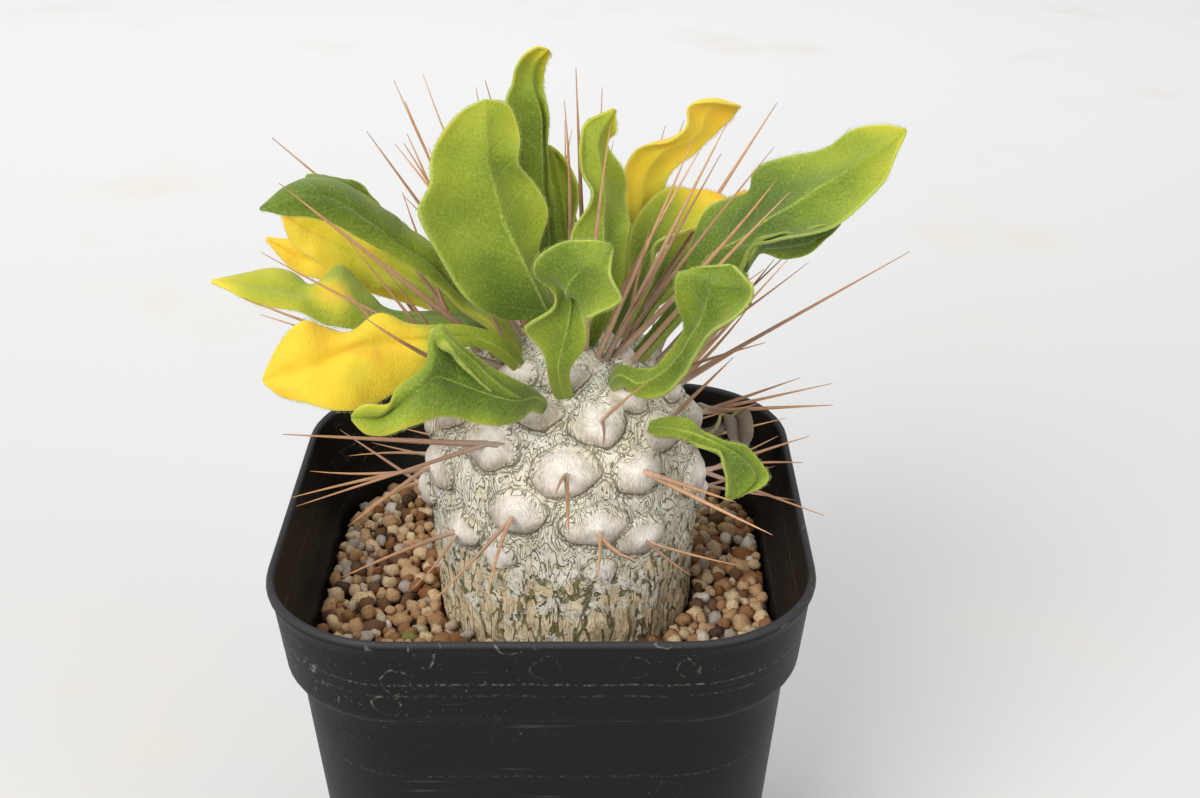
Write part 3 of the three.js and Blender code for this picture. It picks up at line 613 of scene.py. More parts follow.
def inside_soil(x, y, radius):
    """Whether a grain of this radius clears the wall of the pot and the trunk."""
    half = soil_half(SOIL_TOP) - radius * 0.9
    corner = half * CORNER_SHARE
    past_x = np.maximum(np.abs(x) - (half - corner), 0)
    past_y = np.maximum(np.abs(y) - (half - corner), 0)
    off_trunk = np.hypot(x - TRUNK_X, y) > float(trunk_radius(SOIL_TOP)) + 0.5 + radius * 0.7
    return (np.hypot(past_x, past_y) < corner) & off_trunk


def drop_grains():
    """Drops grains one by one, and keeps those that end under the surface; a row is x, y, z and radius."""
    placed = np.zeros((GRAIN_MOST, 4))
    count = 0
    for _ in range(GRAIN_TRIES):
        if count == GRAIN_MOST:
            break
        radius = float(np.clip(draw.lognormal(0.32, 0.24), GRAIN_LEAST_RADIUS, GRAIN_MOST_RADIUS))
        x, y = draw.uniform(-40, 40, (2, GRAIN_CHOICES))
        allowed = inside_soil(x, y, radius)
        if not allowed.any():
            continue
        x, y = x[allowed], y[allowed]
        z = np.full(len(x), SOIL_BED + radius * 0.5)
        if count:
            near = placed[:count]
            gap = np.hypot(x[:, None] - near[:, 0], y[:, None] - near[:, 1])
            touch = (radius + near[:, 3]) * SETTLING
            lift = near[:, 2] + np.sqrt(np.maximum(touch**2 - gap**2, 0))
            z = np.maximum(z, np.where(gap < touch, lift, -1e3).max(axis=1))
        over = z + radius * 0.55 - gravel_height(x, y)
        best = int(np.argmin(over))
        if over[best] < 0.0:
            placed[count] = (x[best], y[best], z[best], radius)
            count += 1
    return placed[:count]


dropped = drop_grains()
print("grains dropped:", len(dropped), "mean size", round(2 * dropped[:, 3].mean(), 2), "mm")

# %% [markdown]
# Thousands of small copies are quickest made in one step. `gather` takes the mesh of a modelled shape and
# writes a copy of its points for every place in a list, together with a few numbers that each copy keeps as
# attributes. The finish reads those, so that one material can give every grain its own colour.


# %% Copying a modelled shape to many places
def store(piece, values):
    """Keeps one number for each point under each name, as attributes that a finish can read."""
    for name, value in values.items():
        layer = piece.data.attributes.new(name, "FLOAT", "POINT")
        layer.data.foreach_set("value", value.astype(np.float32))


def gather(shapes, picks, matrices, values):
    """One object with a copy of shapes[pick] per matrix; values holds one array per attribute.
    The attribute along keeps each point's height in the shape itself."""
    points, faces, kept = [], [], {name: [] for name in [*values, "along"]}
    start = 0
    for pick, shape in enumerate(shapes):
        chosen = np.flatnonzero(picks == pick)
        if not len(chosen):
            continue
        own = np.array([v.co for v in shape.data.vertices])
        turned = np.einsum("mij,nj->mni", matrices[chosen, :3, :3], own) + matrices[chosen, None, :3, 3]
        points.append(turned.reshape(-1, 3))
        corners = [tuple(face.vertices) for face in shape.data.polygons]
        for copy in range(len(chosen)):
            base = start + copy * len(own)
            faces.extend(tuple(base + c for c in face) for face in corners)
        for name, value in values.items():
            kept[name].append(np.repeat(value[chosen], len(own)))
        kept["along"].append(np.tile(own[:, 2], len(chosen)))
        start += len(chosen) * len(own)
    mesh = bpy.data.meshes.new("copies")
    mesh.from_pydata(np.concatenate(points), [], faces)
    piece = bpy.data.objects.new("copies", mesh)
    store(piece, {name: np.concatenate(value) for name, value in kept.items()})
    bpy.context.scene.collection.objects.link(piece)
    for shape in shapes:
        bpy.data.objects.remove(shape)
    pick_up(piece)
    bpy.ops.object.shade_smooth()
    return piece


def unit(vectors):
    """One vector, or every row of several, with its length made 1."""
    return vectors / np.linalg.norm(vectors, axis=-1, keepdims=True)


def turn_matrices(spins, sizes, spots):
    """Matrices from quaternion rows, sizes per axis and spots, all in metres."""
    w, x, y, z = unit(spins).T
    turn = np.array(
        [
            [1 - 2 * (y * y + z * z), 2 * (x * y - w * z), 2 * (x * z + w * y)],
            [2 * (x * y + w * z), 1 - 2 * (x * x + z * z), 2 * (y * z - w * x)],
            [2 * (x * z - w * y), 2 * (y * z + w * x), 1 - 2 * (x * x + y * y)],
        ]
    ).transpose(2, 0, 1)
    result = np.zeros((len(spots), 4, 4))
    result[:, :3, :3] = turn * sizes[:, None, :]
    result[:, :3, 3] = spots
    return result


count = len(dropped)
spins = draw.normal(size=(count, 4))
spins[:, 1:3] *= 0.6
sizes = np.repeat(dropped[:, 3:] * 2.06 * MM, 3, axis=1)
matrices = turn_matrices(spins, sizes, dropped[:, :3] * MM)
mossy = bump(dropped[:, 0], dropped[:, 1], (-21.5, -16.5), 12) * draw.uniform(0.5, 1.2, count)
picks = draw.integers(0, len(STRETCHES), count)
gravel = gather(grains, picks, matrices, {"tint": draw.random(count), "moss": mossy})
print("gravel:", count, "grains,", triangles(gravel), "triangles")


# %% [markdown]
# The mix is mostly beige and tan lumps of baked clay and pumice, with some brown and rust red ones, and a
# few white ones with black specks. A stepped ramp turns each grain's own number into one of those colours,
# and fine noise makes the grain rough, a little darker in its pores.


# %% The finish of the grains and of the mix
def grain_finish():
    finish = Finish("baked_clay_grains", Roughness=0.88, Specular_IOR_Level=0.25)
    where = finish.place()
    tint = finish.attribute("tint")
    kinds = [
        (0.0, 204, 170, 130), (0.13, 220, 194, 158), (0.25, 180, 140, 102), (0.36, 206, 190, 166),
        (0.46, 232, 206, 164), (0.55, 158, 116, 80), (0.65, 196, 158, 118), (0.74, 150, 100, 62),
        (0.8, 116, 86, 64), (0.86, 228, 222, 210), (0.91, 88, 70, 58), (0.96, 184, 176, 164),
    ]
    colour = finish.ramp(tint, kinds, "CONSTANT")
    blotch = finish.cloud(where, 420, 4, 0.6)
    colour = finish.mix(finish.step(blotch, 0.35, 0.7) * 0.35, colour, shade(226, 208, 182), "MULTIPLY")
    pitted = finish.cloud(where, 2300, 3, 0.65)
    colour = finish.mix(finish.step(pitted, 0.5, 0.3) * 0.5, colour, shade(98, 72, 52))
    pale = finish.step(tint, 0.919, 0.921) * finish.step(tint, 0.951, 0.949)
    specks = finish.step(finish.cloud(where, 1300, 2, 0.5), 0.58, 0.63) * pale
    colour = finish.mix(specks, colour, shade(38, 34, 34))
    moss = finish.attribute("moss") * finish.step(finish.cloud(where, 500, 2), 0.4, 0.6)
    finish.feed("Base Color", finish.mix(moss.least(0.8), colour, shade(146, 146, 78)))
    finish.relief(blotch * 0.5 + pitted * 0.5, 0.00045)
    return finish.material


def mix_finish():
    finish = Finish("potting_mix", Roughness=0.95)
    where = finish.place()
    crumbs = finish.cloud(where, 700, 4, 0.7)
    dark, light = shade(48, 32, 22), shade(104, 76, 52)
    finish.feed("Base Color", finish.mix(finish.step(crumbs, 0.4, 0.7), dark, light))
    finish.relief(crumbs, 0.0008)
    return finish.material


gravel.data.materials.append(grain_finish())
bed.data.materials.append(mix_finish())
settle(gravel, "gravel_grains", "gravel")
settle(bed, "soil_bed", "gravel", "soil")

# %% [markdown]
# ## The trunk
#
# The trunk of a halfmens is a water store. Each leaf that falls leaves a rounded boss with two or three
# spines, so the trunk is covered with bosses set in a spiral, and between them the bark is drawn into fine
# wavy wrinkles. Low down the bosses have worn away: there the bark is an upright net of cream strands with
# olive gaps, under a belt of ashen flakes. The bosses that face the camera are placed one by one, as the
# solid model places them, and a spiral fills the rest.

# %% Where the bosses are
# angle in degrees and height; radius and height of the mound; the tips of its spines
FRONT_BOSSES = [
    ((-88, 105), (5.4, 2.5), [(5, -46, 108), (3, -39, 111)]),
    ((-71, 111.5), (4.9, 2.3), [(10, -33, 116), (17, -33, 127)]),
    ((-123, 107.5), (5.4, 2.5), [(-41, -20, 111), (-37, -34, 106)]),
    ((-56, 103.5), (5.2, 2.5), [(36, -36, 102), (30, -38, 109)]),
    ((-39, 108), (4.8, 2.2), [(33, -26, 124)]),
    ((-108, 98), (5.2, 2.6), [(-16, -46, 96), (-7, -50, 99)]),
    ((-76, 95.5), (5.2, 2.6), [(9, -44, 98), (15, -40, 100)]),
    ((-135, 91.5), (4.6, 2.6), [(-31, -34, 93), (-20, -38, 93)]),
    ((-56, 91.5), (4.8, 2.3), [(32, -34, 95), (24, -32, 92)]),
    ((-105, 113.5), (4.6, 2.1), []),
    ((-153, 100), (5.2, 2.8), [(-39, -28, 104), (-38, -16, 102), (-30, -30, 100)]),
    ((-172, 92.5), (4.6, 2.4), [(-30, -16, 94), (-36, 4, 99)]),
    ((-18, 97), (5, 2.8), [(46, -22, 97), (40, -4, 102), (45, -6, 103), (44, -8, 99)]),
    ((-117, 88.5), (3.4, 1.2), []),
    ((-87, 117), (3.8, 1.8), []),
    ((-49, 114), (4.4, 2), [(35, -22, 128)]),
    ((-5, 105), (4.8, 2.6), [(48, -10, 111), (48, -8, 114), (37, -20, 113), (42, -12, 117)]),
    ((-74, 86.5), (3, 0.8), []),
]


def trunk_frame(angle, z):
    """A point on the smooth trunk and the direction out of it, for angles in radians."""
    step = 0.4
    rise = (trunk_radius(z + step) - trunk_radius(z - step)) / (2 * step)
    radius = trunk_radius(z)
    point = np.array([TRUNK_X + radius * math.cos(angle), radius * math.sin(angle), z])
    return point, unit(np.array([math.cos(angle), math.sin(angle), -rise]))


def boss_at(angle, z, size, tips=None):
    """A boss at an angle in radians; tips are given for the bosses that are placed one by one."""
    point, out = trunk_frame(angle, z)
    return {"point": point, "out": out, "radius": size[0], "height": size[1], "tips": tips}


def place_bosses():
    """The bosses placed one by one, and then those of the spiral that keep clear of all before them."""
    bosses = [boss_at(math.radians(angle), z, size, tips) for (angle, z), size, tips in FRONT_BOSSES]
    golden_angle = 2.39996
    lowest, rise_per_try, crown_from = 90, 0.088, 111
    for i in range(330):
        z = lowest + i * rise_per_try
        small = z > crown_from
        spacing = 6.6 if small else 9
        boss = boss_at(i * golden_angle, z, (3.7, 1.7) if small else (5, 2.4))
        if all(np.linalg.norm(other["point"] - boss["point"]) > spacing for other in bosses):
            bosses.append(boss)
    return bosses


bosses = place_bosses()
print("bosses:", len(bosses), "of them placed one by one:", len(FRONT_BOSSES))

# %% [markdown]
# The skin starts as a plain cylinder. Its upright edges are subdivided into many rings, which gives a fine
# even net, and each point of the net is then moved to its place. Sculpting could do this by eye, but here
# every boss has to stand where the solid model has it, so a formula moves the points as a brush would.

# %% The net of the trunk
TRUNK_COLUMNS = 384
ROOT_BOTTOM = 37.6
CROWN_TOP = 121.2
TRUNK_ROWS = np.concatenate([[38.5, 42, 47, 53, 59, 64], np.linspace(66.5, 120.4, 206)])

put_down()
bpy.ops.mesh.primitive_cylinder_add(vertices=TRUNK_COLUMNS, radius=1, depth=1, end_fill_type="TRIFAN")
trunk = bpy.context.object
ring_up(trunk, len(TRUNK_ROWS) - 2)
net = np.array([v.co for v in trunk.data.vertices])
row = np.rint((net[:, 2] + 0.5) * (len(TRUNK_ROWS) - 1)).astype(int)
pole = np.hypot(net[:, 0], net[:, 1]) < 0.5
print("trunk net:", len(net), "points in", len(TRUNK_ROWS), "rings")


# %% Noise, and steps that are soft
noise.seed_set(11)  # without it noise_vector would differ from run to run


def noise_at(points, size, warp=0.0, seed=0.0):
    """Smooth noise from -1 to 1 at points in millimetres, for cells of one size or one size per axis."""
    places = points / np.array(size) + seed
    if warp:
        places = places + warp * np.array([noise.noise_vector(p / 2.5) for p in places])
    return np.array([noise.noise(p) for p in places])


def soft_step(value, low, high):
    share = np.clip((value - low) / (high - low), 0, 1)
    return share * share * (3 - 2 * share)


angle = np.arctan2(net[:, 1], net[:, 0])
height = TRUNK_ROWS[row]
smooth_radius = sum(trunk_radius(height + shift) for shift in (-1.2, -0.4, 0.4, 1.2)) / 4
rise = (trunk_radius(height + 1) - trunk_radius(height - 1)) / 2
skin = np.column_stack([TRUNK_X + smooth_radius * np.cos(angle), smooth_radius * np.sin(angle), height])
outward = unit(np.column_stack([np.cos(angle), np.sin(angle), -rise]))
print("smooth trunk is", round(2 * smooth_radius.max(), 1), "mm across")

# %% [markdown]
# A boss is an oval mound, blunt below and soft above, with a crease under it; the finish paints that crease
# and a fainter line beyond it dark, as painted shade, as if each boss hung a little over the next. In its
# middle a pale woolly point carries the spines.


# %% Mounds and creases
BOSS_WIDTH = 1.04  # half the width and half the rise of a mound, as shares of its radius
BOSS_RISE = 0.8
OVAL = 1.75


def boss_relief(points):
    """Relief in millimetres; the wool round the spines; the distance in millimetres from the nearest
    mound's outline, below 0 on the mound; and how far down the mound a point lies, from 0 at its top to 1."""
    relief, wool, down = (np.zeros(len(points)) for _ in range(3))
    rim = np.full(len(points), 4.0)
    for boss in bosses:
        radius = boss["radius"]
        away = points - boss["point"]
        near = np.flatnonzero(np.linalg.norm(away, axis=1) < 2 * radius)
        away = away[near]
        far = np.linalg.norm(away, axis=1)
        aside = unit(np.array([-boss["out"][1], boss["out"][0], 0.0]))
        upward = np.cross(boss["out"], aside)
        beside = np.abs(away @ aside / (BOSS_WIDTH * radius))
        above = away @ upward / (BOSS_RISE * radius)
        reach = (beside**OVAL + np.abs(above) ** OVAL) ** (1 / OVAL)
        below = soft_step(above, 0.35, -0.35)
        dome = 0.54 * boss["height"] * np.clip(1 - reach ** (1.7 + 3.2 * below), 0, 1) ** 0.8
        heart = np.exp(-(far / 1.4) ** 2)
        lift = dome + 0.8 * heart * (boss["height"] > 1.5)
        taller = lift > relief[near]
        relief[near] = np.where(taller, lift, relief[near])
        wool[near] = np.maximum(wool[near], np.exp(-(far / (0.5 * radius)) ** 2))
        distance = (reach - 1) * radius
        closer = distance < rim[near]
        rim[near] = np.where(closer, distance, rim[near])
        down[near] = np.where(closer, soft_step(above, 0.8, -0.8), down[near])
    return relief, wool, rim, down


bend = np.column_stack([noise_at(skin, 4.2, seed=seed) for seed in (40.0, 51.0, 62.0)])
relief, wool, rim, down = boss_relief(skin + 1.1 * bend)
fade_low = soft_step(height, 80, 84)
relief, wool, rim = relief * fade_low, wool * fade_low, rim + 4 * (1 - fade_low)
print("highest boss stands", round(relief.max(), 2), "mm proud")

# %% Wrinkles, the net of the low bark, and the finished skin
flow = noise_at(skin, (2.6, 2.6, 5.0), warp=0.8)
wrinkle = np.abs(np.sin((0.55 * np.maximum(rim, 0) + 2.2 * flow) * math.pi))
fissure = np.clip(1 - wrinkle / 0.45, 0, 1) * soft_step(rim, 0.1, 0.6)
swells = noise_at(skin, 7, seed=5.1)
ragged = noise_at(skin, (3, 3, 6), seed=9.3)
low = soft_step(86 + 4 * ragged - height, -2.5, 2.5)
net_noise = noise_at(skin, (1.7, 1.7, 5.0), warp=1.4, seed=17.0)
crease = np.exp(-(((rim - 0.1) / 0.3) ** 2)) * (0.35 + 0.65 * down)
relief += 0.3 * swells - 0.26 * fissure * (1 - low) - 0.4 * crease
relief += low * (0.35 * np.clip(1 - np.abs(net_noise) / 0.3, 0, 1) - 0.15)
relief += 0.09 * noise_at(skin, 0.7, seed=3.3)
points = skin + outward * relief[:, None]
points[pole] = [(TRUNK_X, 0, ROOT_BOTTOM if z < SOIL_TOP else CROWN_TOP) for z in height[pole]]
trunk.data.vertices.foreach_set("co", (points * MM).ravel())
store(trunk, {"rim": rim, "down": down, "wool": wool, "low": low})
trunk.data.update()
pick_up(trunk)
bpy.ops.object.shade_smooth()
print("trunk:", triangles(trunk), "triangles, box", [round(v / MM) for v in trunk.dimensions])

# %% [markdown]
# Bark takes its colour from its shape: the numbers stored with each point tell how far it lies from the
# outline of a mound, so a thin crisp line of painted shade can be drawn under each mound and bent by noise.
# The wrinkles are lines of equal height in a noise, drawn out upright and led round the mounds, since a
# sine of the noise gives many thin lines side by side. They are painted dark olive, as the shade in their
# grooves.


# %% The tones of skin, mounds and low bark
SKIN = [(0.3, 216, 206, 176), (0.46, 242, 235, 213), (0.6, 250, 247, 236), (0.74, 232, 220, 194)]
MOUND = [(0.3, 196, 180, 158), (0.46, 222, 211, 194), (0.6, 235, 228, 216), (0.74, 208, 193, 172)]
CREAM = [(0.32, 196, 180, 146), (0.48, 234, 212, 174), (0.66, 246, 230, 200)]
ASHEN = [(0.35, 208, 201, 176), (0.55, 234, 230, 212), (0.7, 245, 242, 230)]
FURROW = [(0.35, 92, 90, 58), (0.5, 134, 130, 88), (0.66, 182, 172, 132)]


class Bark(Finish):
    """The bark's finish, with the clouds and stored numbers that its steps share."""

    def __init__(self):
        super().__init__("silvery_bark", Roughness=0.8, Specular_IOR_Level=0.3)
        self.where = self.place()
        self.upright = self.place((1, 1, 0.3))
        self.fine = self.cloud(self.upright, 1700, 4, 0.65, 0.5)
        self.patch = self.cloud(self.where, 260, 4, 0.6)
        self.sway = self.cloud(self.where, 620, 2) - 0.5
        self.rim = self.attribute("rim")
        self.down = self.attribute("down")
        self.low = self.attribute("low")
        # how much painted shade falls under a mound, more towards its lower side
        self.under = 0.35 + 0.65 * self.down
        self.mound = self.step(self.rim + self.sway * 0.9 + (1 - self.down) * 1.1, 0.1, -0.6)
        self.ragged = self.step(self.low + self.sway * 1.5, 0.2, 0.6)

    def skin_and_mounds(self):
        """Cream skin with some algae in it, and ashen mounds with painted shade on their lower part and a
        painted olive shade band under them.
        """
        stipple = self.step(self.fine, 0.58, 0.36)
        # painted shade: each mound is darker towards its lower side, mixed with its fine stipple
        painted_shade_and_stipple = (self.down * self.down * 0.5 + stipple * 0.38).least(1)
        mound_tone = self.mix(painted_shade_and_stipple, self.ramp(self.patch, MOUND), shade(176, 163, 142))
        colour = self.mix(self.mound, self.ramp(self.patch, SKIN), mound_tone)
        algae = self.step(self.cloud(self.where, 130, 3), 0.45, 0.66) * (1 - self.mound) * 0.26
        colour = self.mix(algae, colour, shade(182, 179, 134))
        # painted shade: an olive band along each mound's outline, strongest below the mound, for the shade it
        # casts
        band = self.step(abs(self.rim + self.sway * 1.6), 0.95, 0.15)
        band = band * self.step(self.patch, 0.38, 0.6) * self.under
        return self.mix(band * 0.62, colour, shade(138, 129, 96))

    def low_bark(self):
        """An upright net of cream strands with olive gaps, below ashen flakes; and where it is raised."""
        tone = self.cloud(self.place((1, 1, 0.4)), 330, 3, 0.6, 0.6)
        flaky = self.cloud(self.place((1, 1, 0.75)), 430, 5, 0.68, 0.8)
        waves = self.cloud(self.place((1, 1, 0.26)), 250, 2.4, 0.5, 0.6)
        strands = abs((waves * 6.5 * math.pi).sine()) * 0.5 + 0.31
        level = self.axis("Z", self.where) + (self.patch - 0.5) * 0.07 + self.sway * 0.03
        high_up = self.step(level, 0.0755, 0.084)
        chips = self.mix(high_up, strands, flaky)
        flakes = self.step(chips, 0.455, 0.485)
        raised_tone = self.mix(high_up, self.ramp(tone, CREAM), self.ramp(self.patch, ASHEN))
        colour = self.mix(flakes, self.ramp(self.fine, FURROW), raised_tone)
        seam = self.step(abs(chips - 0.46), 0.022, 0.004) * 0.7
        return self.mix(seam, colour, shade(84, 78, 50)), flakes

    def dark_lines(self):
        """The wrinkles and the outlines of the mounds, as painted shade in the grooves and under the mounds.
        """
        flow = self.cloud(self.upright, 400, 1.3, 0.45, 0.45)
        wrinkles = self.step(abs(((self.rim.most(0) * 0.7 + flow * 10) * math.pi).sine()), 0.4, 0.06)
        finer = self.cloud(self.upright, 820, 1.2, 0.5, 0.4)
        wrinkles = wrinkles.most(self.step(abs((finer * 4.2 * math.pi).sine()), 0.22, 0.03) * 0.8)
        broken = self.step(self.cloud(self.where, 560, 3), 0.32, 0.52)
        wrinkles = wrinkles * broken * (1 - 0.85 * self.mound) * (1 - 0.7 * self.ragged)
        # painted shade: a dark line along each mound's outline, stronger below it, and a fainter one beyond
        outline = self.step(abs(self.rim - 0.02 + self.sway * 0.6), 0.19, 0.06) * self.under
        beyond = self.step(abs(self.rim - 0.8 + self.sway * 1.3), 0.15, 0.04)
        outline = outline.most(beyond * (0.3 + 0.7 * self.down) * broken * 0.75)
        return wrinkles.most(outline * (1 - 0.7 * self.low))


print("bark tones:", sum(len(tones) for tones in (SKIN, MOUND, CREAM, ASHEN, FURROW)))


# %% The finish of the bark
def bark():
    finish = Bark()
    low_colour, flakes = finish.low_bark()
    dark = finish.dark_lines()
    colour = finish.mix(finish.ragged, finish.skin_and_mounds(), low_colour)
    # the wrinkles and outlines are painted dark olive, as shade
    colour = finish.mix(dark * 0.8, colour, shade(98, 92, 62))
    woolly = finish.step(finish.attribute("wool"), 0.06, 0.7) * 0.8
    finish.feed("Base Color", finish.mix(woolly, colour, shade(246, 240, 233)))
    finish.feed("Roughness", 0.72 + 0.2 * finish.fine)
    height = finish.fine * (0.5 - 0.3 * finish.mound) - dark * 1.1 + flakes * finish.low * 0.8
    finish.relief(height + finish.cloud(finish.where, 4600, 2) * 0.2, 0.00045)
    return finish.material


trunk.data.materials.append(bark())
settle(trunk, "bark_trunk", "bark", "stem")

# %% [markdown]
# ## The shape of a leaf
#
# A leaf is drawn by three rails: its left margin, its midrib and its right margin, each a smooth curve
# through a few points. Any place on the blade is then a share of the way from foot to tip and a share of
# the way from the midrib to a margin. Each half is a little arched, and the margins wave up and down.
# The rails are needed before the spines, because the spines have to pass between the leaves.

